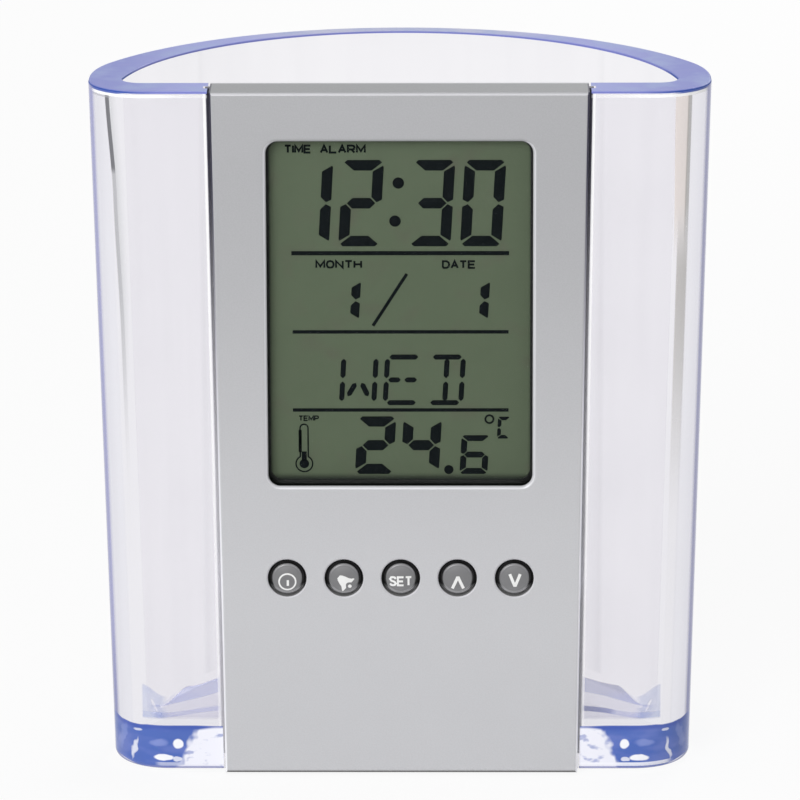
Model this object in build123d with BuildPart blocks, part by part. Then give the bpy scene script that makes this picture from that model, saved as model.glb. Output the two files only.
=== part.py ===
# Pen holder clock: a clear D-shaped cup with a wedge-shaped clock module in its front wall.
# Millimetres. +Z is up, the front faces -Y, and the origin is under the middle of the object,
# on the surface that it stands on. Inside the module, a "depth" is measured back from the
# front face of the panel.
import os
from math import sqrt

from build123d import *

# Whole object
overall_depth = 48.0
overrun = 2.0  # how far every cut runs past what it cuts

# Cup
rim_width = 95.0
base_width = 90.0
panel_proud = 1.0  # the panel stands this far in front of the cup
back_draft = 2.4  # how far the back leans out from base to rim
side_depth = 16.0  # where the straight flanks meet the round back
front_corner_radius = 8.8
back_corner_share = 0.42  # of the overall depth
front_thickness = 6.4
flank_thickness = 4.6
back_thickness = 2.8
floor_thickness = 5.8
cavity_corner_radius = 3.0
cavity_floor_radius = 1.5
base_edge_radius = 1.2
rim_edge_radius = 0.35

# Feet
foot_radius = 3.6
foot_height = 0.4  # how far a foot stands out below the base
foot_recess = 0.4
foot_edge_radius = 0.3
foot_clearance = 0.15
front_foot_share = 0.8  # of the base's width, between the middles of two feet
rear_foot_share = 0.51
foot_front_inset = 10.0
foot_back_inset = 13.5

# Slot for the module, and the ledge that the module stands on
slot_base_width = 55.3
slot_flare = 2.8  # how much wider the slot is at the rim
slot_gap = 0.3
ledge_height = 2.0
ledge_gap = 0.3
tongue_thickness = 1.2
tongue_reach = 0.7
tongue_clearance = 0.15
tongue_depth = 3.4

# Front shell of the module
front_wall = 1.6
side_wall = 1.5
cover_thickness = 1.0
panel_base_gap = 0.3  # from the panel's lower edge down to the table
panel_edge_radius = 0.5
window_width_share = 0.732  # of the slot's width at its base
window_height = 54.2
window_rise = 14.8  # from the middles of the buttons to the window
top_band = 7.6  # from the window to the panel's top edge
window_corner_radius = 1.8
window_edge_radius = 0.6

# Buttons
button_names = ("mode_button", "alarm_button", "set_button", "up_button", "down_button")
button_pitch_share = 0.1584  # of the slot's width at its base
button_rise = 16.0  # from the battery's middle to the middles of the buttons
button_radius = 2.72
button_clearance = 0.28
button_crown = 0.15
button_recess = 0.3
button_hole_chamfer = 0.2
flange_thickness = 0.6
flange_height = 6.8
flange_corner_radius = 0.8
flange_clearance = 0.05
button_travel = 0.6
key_rib_thickness = 0.6
key_rib_clearance = 0.25

# Display stack, from the front
pane_thickness = 0.8
pane_margin = 1.7
frame_lip = 0.3
frame_show = 0.35  # how much of the frame's lip shows inside the window
frame_ring = 0.7
frame_clearance = 0.1
film_thickness = 0.2
glass_thickness = 0.7
glass_margin = 1.35
glass_ledge = 2.4
glass_overhang = 1.8
zebra_width = 1.8
zebra_thickness = 1.1

# Circuit board and what is on it
board_thickness = 0.8
board_side_gap = 0.65
board_rise = 9.6  # from the battery's middle to the board's lower edge
board_top_gap = 2.0
chip_radius = 5.0
chip_height = 0.7
chip_share = 0.3  # of the window's height, from the window's lower edge
crystal_radius = 1.0
crystal_length = 6.2
crystal_offset = 12.0
parts_row_gap = 2.9  # from the keypad's top edge to the middle of the row of parts
capacitor_length = 1.6
capacitor_width = 0.8
capacitor_height = 0.7
capacitor_pitch = 3.2
capacitor_count = 4
capacitor_offset = -10.0
bead_radius = 0.9
bead_drop = 3.2
lead_radius = 0.2
lead_pitch = 1.0
lead_lap = 1.4

# Keypad
keypad_web = 0.6
keypad_height = 8.4
keypad_margin = 3.4
dome_base_radius = 3.1
dome_top_radius = 2.0
dome_wall = 0.6
dome_gap = 0.05
pill_radius = 1.1
pill_thickness = 0.4

# Battery, its seat and contacts
battery_radius = 5.8
battery_height = 3.05
battery_share = 0.245  # of the slot's width at its base, to the left of the middle
battery_level = 16.0
battery_lift = 0.7  # the leaf spring's room in front of the cell
battery_clearance = 0.2
seat_wall = 0.8
seat_mouth_width = 9.6
cap_radius = 4.2
cap_step = 0.35
contact_thickness = 0.25
contact_width = 2.4
contact_spread = 5.4
contact_lap = 1.6
contact_drop = 1.2
leaf_run = 4.0

# Buzzer
buzzer_share = 0.235  # of the slot's width at its base, to the right of the middle
buzzer_radius = 7.5
buzzer_thickness = 0.2
ceramic_radius = 5.5
ceramic_thickness = 0.2
buzzer_rim_wall = 0.8
buzzer_rim_height = 1.2
buzzer_rim_clearance = 0.15
buzzer_mouth_width = 5.0
wire_radius = 0.35
wire_pitch = 3.0
wire_lap = 1.2
wire_bend = 1.2
wire_start_share = 0.35
wire_turn_share = 0.6

# Screws, their bosses and the rear cover
case_boss_radius = 1.9
case_boss_sink = 0.4  # how far a case boss merges into the side wall
cover_boss_height = 1.0
case_screw_radius = 0.9
case_head_radius = 1.7
case_head_height = 0.8
case_head_sink = 0.1
case_screw_length = 4.4
case_top_inset = 3.7
case_middle_gap = 3.0
case_base_inset = 2.6
boss_floor = 0.6
screw_clearance = 0.06
head_clearance = 0.12
cross_width = 0.35
cross_length = 1.7
cross_depth = 0.45
board_boss_radius = 1.25
board_screw_radius = 0.55
board_head_radius = 1.1
board_head_height = 0.6
board_screw_length = 3.0
board_screw_inset = 1.3
board_screw_rise = 2.6
notch_clearance = 0.2
lip_height = 0.6
lip_thickness = 0.6
lip_clearance = 0.1
cover_edge_radius = 0.4

# Battery door and its hinge
door_width = 14.0
door_thickness = 0.9
door_drop = 7.3  # from the battery's middle to the door's lower edge
door_rise = 9.0  # from the battery's middle to the hinge
door_gap = 0.2
barrel_radius = 0.8
hinge_gap = 0.35
pin_radius = 0.45
pin_length = 0.8
pin_clearance = 0.05
ear_width = 1.6
ear_height = 0.8
ear_margin = 0.9
grip_width = 6.0
grip_height = 0.8
grip_depth = 0.4
grip_pitch = 1.5
grip_count = 3
grip_inset = 2.0
door_rib_thickness = 0.8
door_rib_length = 7.0
door_rib_spread = 5.0
door_rib_gap = 0.2

# Levels, from the battery up, and places across the front
button_level = battery_level + button_rise
window_base = button_level + window_rise
window_top = window_base + window_height
window_level = window_base + window_height / 2
height = window_top + top_band
board_base = battery_level + board_rise
buzzer_level = battery_level
window_width = slot_base_width * window_width_share
button_pitch = slot_base_width * button_pitch_share
battery_offset = -slot_base_width * battery_share
buzzer_offset = slot_base_width * buzzer_share
back_corner_radius = overall_depth * back_corner_share

# Planes and levels that several pieces share
panel_y = -overall_depth / 2
wall_y = panel_y + panel_proud
wall_depth = panel_proud + front_thickness
cup_rim_depth = overall_depth - panel_proud
shell_depth = wall_depth - cover_thickness
seat_level = foot_height + ledge_height
floor_level = foot_height + floor_thickness
pocket_base = seat_level + side_wall
pocket_top = height - side_wall
flange_depth = front_wall + flange_clearance
flange_back = flange_depth + flange_thickness
flange_width = button_pitch - key_rib_thickness - 2 * key_rib_clearance
pane_depth = front_wall + pane_thickness
lip_depth = pane_depth + frame_lip
front_film_depth = lip_depth + film_thickness
front_glass_depth = front_film_depth + glass_thickness
rear_glass_depth = front_glass_depth + glass_thickness
reflector_depth = rear_glass_depth + film_thickness
board_face = front_glass_depth + zebra_thickness
board_back = board_face + board_thickness
glass_width = window_width + 2 * glass_margin
glass_base = window_base - glass_overhang - glass_ledge
glass_top = window_top + glass_overhang + glass_ledge
frame_width = glass_width + 2 * (frame_ring + frame_clearance)
frame_base = glass_base - frame_ring - frame_clearance
frame_top = glass_top + frame_ring + frame_clearance
board_top = pocket_top - board_top_gap
keypad_top = button_level + keypad_height / 2
parts_level = keypad_top + parts_row_gap
case_boss_face = shell_depth - cover_boss_height
battery_front = front_wall + battery_lift
battery_back = battery_front + battery_height
seat_radius = battery_radius + battery_clearance
hinge_level = battery_level + door_rise
hinge_depth = wall_depth - barrel_radius
door_base = battery_level - door_drop
button_places = [(column - (len(button_names) - 1) / 2) * button_pitch for column in range(len(button_names))]
case_screw_levels = (
    pocket_base + case_base_inset,
    parts_level + case_middle_gap - case_boss_radius,
    pocket_top - case_top_inset,
)


def cup_half_width(level):
    """Half the cup's outside width at a level."""
    return (base_width + (rim_width - base_width) * level / height) / 2


def cup_depth(level):
    """The cup's outside depth at a level, from its front wall to its back."""
    return cup_rim_depth - back_draft * (1 - level / height)


def slot_half_width(level):
    """Half the width of the cup's slot at a level."""
    return (slot_base_width + slot_flare * level / height) / 2


def groove_half_width(level):
    """Half the width across the slot's two grooves at a level."""
    return slot_half_width(level) + tongue_reach


def panel_half_width(level):
    """Half the module's width at a level."""
    return slot_half_width(level) - slot_gap


def pocket_half_width(level):
    """Half the width inside the module's shell at a level."""
    return panel_half_width(level) - side_wall


def case_boss_offset(level):
    """How far a case boss stands from the middle at a level."""
    return pocket_half_width(level) + case_boss_sink - case_boss_radius


def both_sides(offset, levels):
    """Places to the left and to the right of the middle, at each level."""
    return [(side * offset(level), level) for level in levels for side in (-1, 1)]


def board_screw_offset(level):
    """How far a board screw stands from the middle, the same at every level."""
    return board_width / 2 - board_screw_inset


def facing(depth):
    """A plane that faces the front, at a depth behind the panel's front face."""
    return Plane.XZ.offset(-panel_y - depth)


def wedge_points(half_width, low, high, inset=0):
    """The corners of a wedge between two levels, whose sides follow half_width."""
    return [
        (-half_width(low) + inset, low),
        (half_width(low) - inset, low),
        (half_width(high) - inset, high),
        (-half_width(high) + inset, high),
    ]


def wedge_face(depth, half_width, low, high):
    """Sketches a wedge on the plane at a depth."""
    with BuildSketch(facing(depth)) as face:
        Polygon(*wedge_points(half_width, low, high), align=None)
    return face.sketch


def outer_outline(level):
    """Sketches the cup's outside at a level."""
    half = cup_half_width(level)
    with BuildSketch(Plane.XY.offset(level)) as outline:
        with BuildLine():
            Line((-half, wall_y), (half, wall_y))
            Line((half, wall_y), (half, wall_y + side_depth))
            ThreePointArc(
                (half, wall_y + side_depth), (0, wall_y + cup_depth(level)), (-half, wall_y + side_depth)
            )
            Line((-half, wall_y + side_depth), (-half, wall_y))
        make_face()
        fillet(outline.vertices().group_by(Axis.Y)[0], front_corner_radius)
        fillet(outline.vertices().group_by(Axis.Y)[-1], back_corner_radius)
    return outline.sketch


def cavity_outline(level):
    """Sketches the space for pens at a level."""
    half = cup_half_width(level) - flank_thickness
    front = wall_y + front_thickness
    back = wall_y + cup_depth(level) - back_thickness
    with BuildSketch(Plane.XY.offset(level)) as outline:
        with BuildLine():
            Line((-half, front), (half, front))
            ThreePointArc((half, front), (0, back), (-half, front))
        make_face()
        fillet(outline.vertices(), cavity_corner_radius)
    return outline.sketch


def foot_places():
    """The middles of the four feet, in plan."""
    front = wall_y + foot_front_inset
    back = wall_y + cup_depth(0) - foot_back_inset
    return [
        (side * base_width * share / 2, place)
        for share, place in ((front_foot_share, front), (rear_foot_share, back))
        for side in (-1, 1)
    ]


board_width = 2 * (pocket_half_width(board_base) - board_side_gap)
case_places = both_sides(case_boss_offset, case_screw_levels)
board_places = both_sides(board_screw_offset, (board_base + board_screw_rise, window_level))
key_places = [(place, button_level) for place in button_places]


def save(piece, name):
    """Labels a finished piece and writes it as its own file."""
    piece.part.label = name
    export_step(piece.part, f"parts/{name}.step")


os.makedirs("parts", exist_ok=True)

# Space for pens: the cup's hollow, rounded where it meets the floor.
with BuildPart() as cavity:
    loft([cavity_outline(floor_level), cavity_outline(height + overrun)], ruled=True)
    fillet(cavity.faces().sort_by(Axis.Z)[0].edges(), cavity_floor_radius)

# Cup: a thick clear moulding, drafted towards the base, with a slot in its front wall.
with BuildPart() as cup_body:
    loft([outer_outline(foot_height), outer_outline(height)], ruled=True)
    fillet(cup_body.faces().sort_by(Axis.Z)[0].edges(), base_edge_radius)
    add(cavity.part, mode=Mode.SUBTRACT)
    rim = cup_body.faces().sort_by(Axis.Z)[-1]
    fillet(rim.edges(), rim_edge_radius)
    slot_back = wall_depth + slot_gap
    slot = wedge_face(slot_back, slot_half_width, seat_level, height + overrun)
    extrude(slot, amount=slot_back + overrun, mode=Mode.SUBTRACT)
    ledge_front = front_wall + ledge_gap
    notch = wedge_face(ledge_front, slot_half_width, -overrun, seat_level)
    extrude(notch, amount=ledge_front + overrun, mode=Mode.SUBTRACT)
    groove_back = tongue_depth + tongue_thickness + tongue_clearance
    groove = wedge_face(groove_back, groove_half_width, seat_level, height + overrun)
    extrude(groove, amount=tongue_thickness + 2 * tongue_clearance, mode=Mode.SUBTRACT)
    with BuildSketch(Plane.XY.offset(foot_height)):
        with Locations(*foot_places()):
            Circle(foot_radius + foot_clearance)
    extrude(amount=foot_recess, mode=Mode.SUBTRACT)
save(cup_body, "cup_body")

# Feet: four soft discs, seated in shallow recesses in the base.
with BuildPart() as feet:
    with BuildSketch():
        with Locations(*foot_places()):
            Circle(foot_radius)
    extrude(amount=foot_height + foot_recess)
    fillet(feet.edges().group_by(Axis.Z)[0], foot_edge_radius)
save(feet, "feet")

# Front shell: the silver panel with its side walls, tongues, bosses and seats.
with BuildPart() as front_shell:
    extrude(wedge_face(shell_depth, panel_half_width, seat_level, height), amount=shell_depth)
    skirt = wedge_face(front_wall, panel_half_width, panel_base_gap, seat_level + side_wall)
    extrude(skirt, amount=front_wall)
    with BuildSketch(facing(front_wall)):
        with Locations((0, window_level)):
            RectangleRounded(window_width, window_height, window_corner_radius)
    extrude(amount=front_wall, mode=Mode.SUBTRACT)
    with BuildSketch(facing(front_wall)):
        with Locations(*key_places):
            Circle(button_radius + button_clearance)
    extrude(amount=front_wall, mode=Mode.SUBTRACT)
    pocket = wedge_face(shell_depth, pocket_half_width, pocket_base, pocket_top)
    extrude(pocket, amount=shell_depth - front_wall, mode=Mode.SUBTRACT)
    panel_face = front_shell.faces().sort_by(Axis.Y)[0]
    fillet(panel_face.outer_wire().edges(), panel_edge_radius)
    panel_face = front_shell.faces().sort_by(Axis.Y)[0]
    window_wire = panel_face.inner_wires().sort_by(SortBy.LENGTH)[-1]
    fillet(window_wire.edges(), window_edge_radius)
    panel_face = front_shell.faces().sort_by(Axis.Y)[0]
    button_wires = panel_face.inner_wires().sort_by(SortBy.LENGTH)[: len(button_names)]
    chamfer([edge for wire in button_wires for edge in wire.edges()], button_hole_chamfer)
    with BuildSketch(facing(tongue_depth + tongue_thickness)):
        for side in (-1, 1):
            low_side = side * panel_half_width(seat_level)
            high_side = side * panel_half_width(height)
            reach = side * tongue_reach
            sink = side * side_wall / 2
            Polygon(
                (low_side - sink, seat_level),
                (low_side + reach, seat_level),
                (high_side + reach, height),
                (high_side - sink, height),
                align=None,
            )
    extrude(amount=tongue_thickness)
    with BuildSketch(facing(case_boss_face)):
        with Locations(*case_places):
            Circle(case_boss_radius)
    extrude(amount=case_boss_face - front_wall)
    with BuildSketch(facing(case_boss_face)):
        with Locations(*case_places):
            Circle(case_screw_radius + screw_clearance)
    extrude(amount=case_boss_face - front_wall - boss_floor, mode=Mode.SUBTRACT)
    with BuildSketch(facing(board_face)):
        with Locations(*board_places):
            Circle(board_boss_radius)
            Circle(board_screw_radius + screw_clearance, mode=Mode.SUBTRACT)
    extrude(amount=board_face - front_wall)
    key_rib_places = [place - button_pitch / 2 for place in button_places]
    key_rib_places.append(button_places[-1] + button_pitch / 2)
    with BuildSketch(facing(flange_back + button_travel)):
        with Locations(*[(place, button_level) for place in key_rib_places]):
            Rectangle(key_rib_thickness, flange_height)
    extrude(amount=flange_back + button_travel - front_wall)
    with BuildSketch(facing(battery_back + battery_clearance)):
        with Locations((battery_offset, battery_level)):
            Circle(seat_radius + seat_wall)
            Circle(seat_radius, mode=Mode.SUBTRACT)
        with Locations((battery_offset, battery_level + seat_radius)):
            Rectangle(seat_mouth_width, seat_radius, mode=Mode.SUBTRACT)
    extrude(amount=battery_back + battery_clearance - front_wall)
    buzzer_rim_radius = buzzer_radius + buzzer_rim_clearance
    with BuildSketch(facing(front_wall + buzzer_rim_height)):
        with Locations((buzzer_offset, buzzer_level)):
            Circle(buzzer_rim_radius + buzzer_rim_wall)
            Circle(buzzer_rim_radius, mode=Mode.SUBTRACT)
        with Locations((buzzer_offset, buzzer_level + buzzer_rim_radius)):
            Rectangle(buzzer_mouth_width, buzzer_rim_radius, mode=Mode.SUBTRACT)
    extrude(amount=buzzer_rim_height)
save(front_shell, "front_shell")

# Display window: a clear pane behind the opening in the panel.
with BuildPart() as display_window:
    with BuildSketch(facing(pane_depth)):
        with Locations((0, window_level)):
            RectangleRounded(
                window_width + 2 * pane_margin, window_height + 2 * pane_margin, window_corner_radius
            )
    extrude(amount=pane_thickness)
save(display_window, "display_window")

# Display frame: a black tray that holds the glass and both contact strips against the board.
with BuildPart() as display_frame:
    with BuildSketch(facing(board_face)):
        with Locations((0, (frame_base + frame_top) / 2)):
            Rectangle(frame_width, frame_top - frame_base)
    extrude(amount=board_face - pane_depth)
    with BuildSketch(facing(board_face)):
        with Locations((0, (glass_base + glass_top) / 2)):
            Rectangle(
                glass_width + 2 * frame_clearance, glass_top - glass_base + 2 * frame_clearance
            )
    extrude(amount=board_face - lip_depth, mode=Mode.SUBTRACT)
    with BuildSketch(facing(lip_depth)):
        with Locations((0, window_level)):
            RectangleRounded(
                window_width - 2 * frame_show, window_height - 2 * frame_show, window_corner_radius
            )
    extrude(amount=frame_lip, mode=Mode.SUBTRACT)
save(display_frame, "display_frame")


def display_sheet(back, thickness, low, high, name):
    """Makes one flat layer of the display and writes it."""
    with BuildPart() as layer:
        with BuildSketch(facing(back)):
            with Locations((0, (low + high) / 2)):
                Rectangle(glass_width, high - low)
        extrude(amount=thickness)
    save(layer, name)


# Display glass: the front plate is longer than the rear one, and its ends carry the contacts.
film_base = glass_base + glass_ledge
film_top = glass_top - glass_ledge
display_sheet(front_film_depth, film_thickness, film_base, film_top, "front_polariser")
display_sheet(front_glass_depth, glass_thickness, glass_base, glass_top, "front_glass")
display_sheet(rear_glass_depth, glass_thickness, film_base, film_top, "rear_glass")
display_sheet(reflector_depth, film_thickness, film_base, film_top, "rear_reflector")

# Contact strips: elastomer bars between the front plate's ledges and the board.
for name, level in (
    ("lower_contact_strip", glass_base + glass_ledge / 2),
    ("upper_contact_strip", glass_top - glass_ledge / 2),
):
    with BuildPart() as contact_strip:
        with BuildSketch(facing(board_face)):
            with Locations((0, level)):
                Rectangle(window_width, zebra_width)
        extrude(amount=zebra_thickness)
    save(contact_strip, name)

# Circuit board, notched round the case bosses.
with BuildPart() as circuit_board:
    with BuildSketch(facing(board_back)):
        with Locations((0, (board_base + board_top) / 2)):
            Rectangle(board_width, board_top - board_base)
        with Locations(*both_sides(case_boss_offset, case_screw_levels[1:])):
            notch_width = 2 * (case_boss_radius + notch_clearance)
            Rectangle(notch_width, notch_width, mode=Mode.SUBTRACT)
        with Locations(*board_places):
            Circle(board_screw_radius + screw_clearance, mode=Mode.SUBTRACT)
    extrude(amount=board_thickness)
save(circuit_board, "circuit_board")

# Clock chip: a low dome of black resin on the back of the board.
with BuildPart() as clock_chip:
    chip_level = window_base + window_height * chip_share
    with BuildSketch(Plane(origin=(0, panel_y + board_back, chip_level), z_dir=(0, 0, 1))):
        with BuildLine():
            Line((0, 0), (chip_radius, 0))
            chip_sphere = (chip_radius**2 + chip_height**2) / (2 * chip_height)
            RadiusArc((chip_radius, 0), (0, chip_height), -chip_sphere)
            Line((0, chip_height), (0, 0))
        make_face()
    revolve(axis=Axis((0, panel_y + board_back, chip_level), (0, 1, 0)))
save(clock_chip, "clock_chip")

# Crystal: a small metal can that lies on the front of the board.
with BuildPart() as crystal:
    crystal_middle = (crystal_offset, panel_y + board_face - crystal_radius, parts_level)
    with BuildSketch(Plane(origin=crystal_middle, z_dir=(1, 0, 0))):
        Circle(crystal_radius)
    extrude(amount=crystal_length / 2, both=True)
    fillet(crystal.edges(), crystal_radius / 4)
save(crystal, "crystal")

# Chip capacitors: a row of small blocks on the front of the board.
with BuildPart() as chip_capacitors:
    with BuildSketch(facing(board_face)):
        with Locations((capacitor_offset, parts_level)):
            with GridLocations(capacitor_pitch, capacitor_width, capacitor_count, 1):
                Rectangle(capacitor_length, capacitor_width)
    extrude(amount=capacitor_height)
save(chip_capacitors, "chip_capacitors")

# Thermistor: a bead on two leads that hangs below the board.
with BuildPart() as thermistor:
    bead_level = board_base - bead_drop
    bead_y = panel_y + board_face - lead_radius
    with BuildSketch(Plane.XY.offset(bead_level)):
        with Locations((-lead_pitch / 2, bead_y), (lead_pitch / 2, bead_y)):
            Circle(lead_radius)
    extrude(amount=bead_drop + lead_lap)
    with Locations((0, bead_y, bead_level)):
        Sphere(bead_radius)
save(thermistor, "thermistor")

# Keypad: one rubber mat on the board, with a hollow dome behind each button.
with BuildPart() as keypad:
    keypad_width = (len(button_names) - 1) * button_pitch + 2 * keypad_margin
    with BuildSketch(facing(board_face)):
        with Locations((0, button_level)):
            Rectangle(keypad_width, keypad_height)
    extrude(amount=keypad_web)
    for place in button_places:
        with BuildSketch(facing(board_face - keypad_web)):
            with Locations((place, button_level)):
                Circle(dome_base_radius)
        with BuildSketch(facing(flange_back + dome_gap)):
            with Locations((place, button_level)):
                Circle(dome_top_radius)
        loft(ruled=True)
        with BuildSketch(facing(board_face)):
            with Locations((place, button_level)):
                Circle(dome_base_radius - dome_wall)
        with BuildSketch(facing(flange_back + dome_gap + dome_wall)):
            with Locations((place, button_level)):
                Circle(dome_top_radius - dome_wall)
        loft(ruled=True, mode=Mode.SUBTRACT)
save(keypad, "keypad")

# Contact pills: a carbon disc under each dome closes the tracks on the board.
with BuildPart() as contact_pills:
    pill_back = flange_back + dome_gap + dome_wall + pill_thickness
    with BuildSketch(facing(pill_back)):
        with Locations(*key_places):
            Circle(pill_radius)
    extrude(amount=pill_thickness)
save(contact_pills, "contact_pills")


def make_button(place, name):
    """Makes one push button: a crowned cap on a square flange that keeps it from turning."""
    middle = (place, panel_y, button_level)
    crown_radius = (button_radius**2 + (button_recess + button_crown) ** 2) / (
        2 * (button_recess + button_crown)
    )
    with BuildPart() as button:
        with BuildSketch(Plane(origin=middle, x_dir=(1, 0, 0), z_dir=(0, 0, 1))):
            with BuildLine():
                RadiusArc((0, -button_crown), (button_radius, button_recess), crown_radius)
                Line((button_radius, button_recess), (button_radius, flange_back))
                Line((button_radius, flange_back), (0, flange_back))
                Line((0, flange_back), (0, -button_crown))
            make_face()
        revolve(axis=Axis(middle, (0, 1, 0)))
        with BuildSketch(facing(flange_back)):
            with Locations((place, button_level)):
                RectangleRounded(flange_width, flange_height, flange_corner_radius)
        extrude(amount=flange_thickness)
    save(button, name)


for place, name in zip(button_places, button_names):
    make_button(place, name)

# Battery: a button cell, its smaller cap towards the front.
with BuildPart() as battery:
    with BuildSketch(facing(battery_back)):
        with Locations((battery_offset, battery_level)):
            Circle(battery_radius)
    extrude(amount=battery_height - cap_step)
    with BuildSketch(facing(battery_back)):
        with Locations((battery_offset, battery_level)):
            Circle(cap_radius)
    extrude(amount=battery_height)
    fillet(battery.edges().sort_by(Axis.Y)[-1], cap_step / 2)
save(battery, "battery")


def bent_strip(offset, points, name):
    """Makes a contact: a strip of spring metal bent along points of depth and level."""
    with BuildPart() as strip:
        with BuildSketch(Plane(origin=(offset, 0, 0), x_dir=(0, 1, 0), z_dir=(1, 0, 0))):
            with BuildLine():
                Polyline(*[(panel_y + depth, level) for depth, level in points])
            trace(line_width=contact_thickness)
        extrude(amount=contact_width / 2, both=True)
    save(strip, name)


# Contacts: both are soldered to the front of the board and reach down to the cell.
half_sheet = contact_thickness / 2
solder_depth = board_face - half_sheet
leaf_level = battery_level + leaf_run
bent_strip(
    battery_offset - contact_spread / 2,
    [
        (solder_depth, board_base + contact_lap),
        (solder_depth, board_base - contact_drop),
        (front_wall + half_sheet, board_base - contact_drop - contact_width),
        (front_wall + half_sheet, leaf_level),
        (battery_front - half_sheet, battery_level),
    ],
    "negative_contact",
)
touch_offset = contact_spread / 2 - contact_width / 2
touch_level = battery_level + sqrt(battery_radius**2 - touch_offset**2) + half_sheet
bent_strip(
    battery_offset + contact_spread / 2,
    [
        (solder_depth, board_base + contact_lap),
        (solder_depth, touch_level),
        (battery_front + cap_step + contact_thickness, touch_level),
    ],
    "positive_contact",
)

# Buzzer: a thin brass disc with a smaller ceramic disc, on the inside of the panel.
for name, back, thickness, radius in (
    ("buzzer_plate", front_wall + buzzer_thickness, buzzer_thickness, buzzer_radius),
    (
        "buzzer_ceramic",
        front_wall + buzzer_thickness + ceramic_thickness,
        ceramic_thickness,
        ceramic_radius,
    ),
):
    with BuildPart() as disc:
        with BuildSketch(facing(back)):
            with Locations((buzzer_offset, buzzer_level)):
                Circle(radius)
        extrude(amount=thickness)
    save(disc, name)

# Buzzer wires: two short leads from the ceramic to the lower edge of the board.
with BuildPart() as buzzer_wires:
    wire_low_y = panel_y + front_wall + buzzer_thickness + ceramic_thickness + wire_radius
    wire_high_y = panel_y + board_face - wire_radius
    wire_start = buzzer_level + ceramic_radius * wire_start_share
    wire_turn = wire_start + (board_base - wire_start) * wire_turn_share
    for side in (-1, 1):
        wire_x = buzzer_offset + side * wire_pitch / 2
        with BuildLine():
            route = FilletPolyline(
                (wire_x, wire_low_y, wire_start),
                (wire_x, wire_low_y, wire_turn),
                (wire_x, wire_high_y, board_base - wire_lap / 2),
                (wire_x, wire_high_y, board_base + wire_lap),
                radius=wire_bend,
            )
        with BuildSketch(Plane(origin=route @ 0, z_dir=route % 0)):
            Circle(wire_radius)
        sweep(path=route)
save(buzzer_wires, "buzzer_wires")

# Rear cover: closes the module, with a locating lip, screw bosses and the battery opening.
with BuildPart() as rear_cover:
    plate = wedge_face(wall_depth, panel_half_width, seat_level, height)
    extrude(plate, amount=cover_thickness)
    outer_face = rear_cover.faces().sort_by(Axis.Y)[-1]
    fillet(outer_face.edges(), cover_edge_radius)
    with BuildSketch(facing(shell_depth)):
        Polygon(
            *wedge_points(
                pocket_half_width, pocket_base + lip_clearance, pocket_top - lip_clearance, lip_clearance
            ),
            align=None,
        )
        lip_inset = lip_clearance + lip_thickness
        Polygon(
            *wedge_points(pocket_half_width, pocket_base + lip_inset, pocket_top - lip_inset, lip_inset),
            align=None,
            mode=Mode.SUBTRACT,
        )
        with Locations(*case_places):
            Circle(case_boss_radius + lip_thickness + lip_clearance, mode=Mode.SUBTRACT)
    extrude(amount=lip_height)
    with BuildSketch(facing(shell_depth)):
        with Locations(*case_places):
            Circle(case_boss_radius - case_boss_sink - lip_clearance)
    extrude(amount=cover_boss_height)
    with BuildSketch(facing(wall_depth)):
        with Locations(*case_places):
            Circle(case_screw_radius + screw_clearance)
    extrude(amount=cover_thickness + cover_boss_height, mode=Mode.SUBTRACT)
    head_depth = wall_depth - case_head_sink
    for place in case_places:
        with BuildSketch(facing(wall_depth)):
            with Locations(place):
                Circle(case_head_radius + head_clearance)
        extrude(amount=case_head_sink, mode=Mode.SUBTRACT)
        with BuildSketch(facing(head_depth)):
            with Locations(place):
                Circle(case_head_radius + head_clearance)
        with BuildSketch(facing(head_depth - case_head_height)):
            with Locations(place):
                Circle(case_screw_radius + screw_clearance)
        loft(ruled=True, mode=Mode.SUBTRACT)
    ear_middle = door_width / 2 + door_gap + ear_width / 2
    with BuildSketch(facing(shell_depth)):
        with Locations(
            (battery_offset - ear_middle, hinge_level), (battery_offset + ear_middle, hinge_level)
        ):
            Rectangle(ear_width, 2 * ear_margin)
    extrude(amount=ear_height)
    with BuildSketch(facing(wall_depth)):
        opening_base = door_base - door_gap
        opening_top = hinge_level + barrel_radius + hinge_gap
        with Locations((battery_offset, (opening_base + opening_top) / 2)):
            Rectangle(door_width + 2 * door_gap, opening_top - opening_base)
    extrude(amount=cover_thickness, mode=Mode.SUBTRACT)
    pin_hole_reach = door_width / 2 + pin_length + 2 * door_gap
    hinge_origin = (battery_offset, panel_y + hinge_depth, hinge_level)
    with BuildSketch(Plane(origin=hinge_origin, z_dir=(1, 0, 0))):
        Circle(pin_radius + pin_clearance)
    extrude(amount=pin_hole_reach, both=True, mode=Mode.SUBTRACT)
save(rear_cover, "rear_cover")

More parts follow.
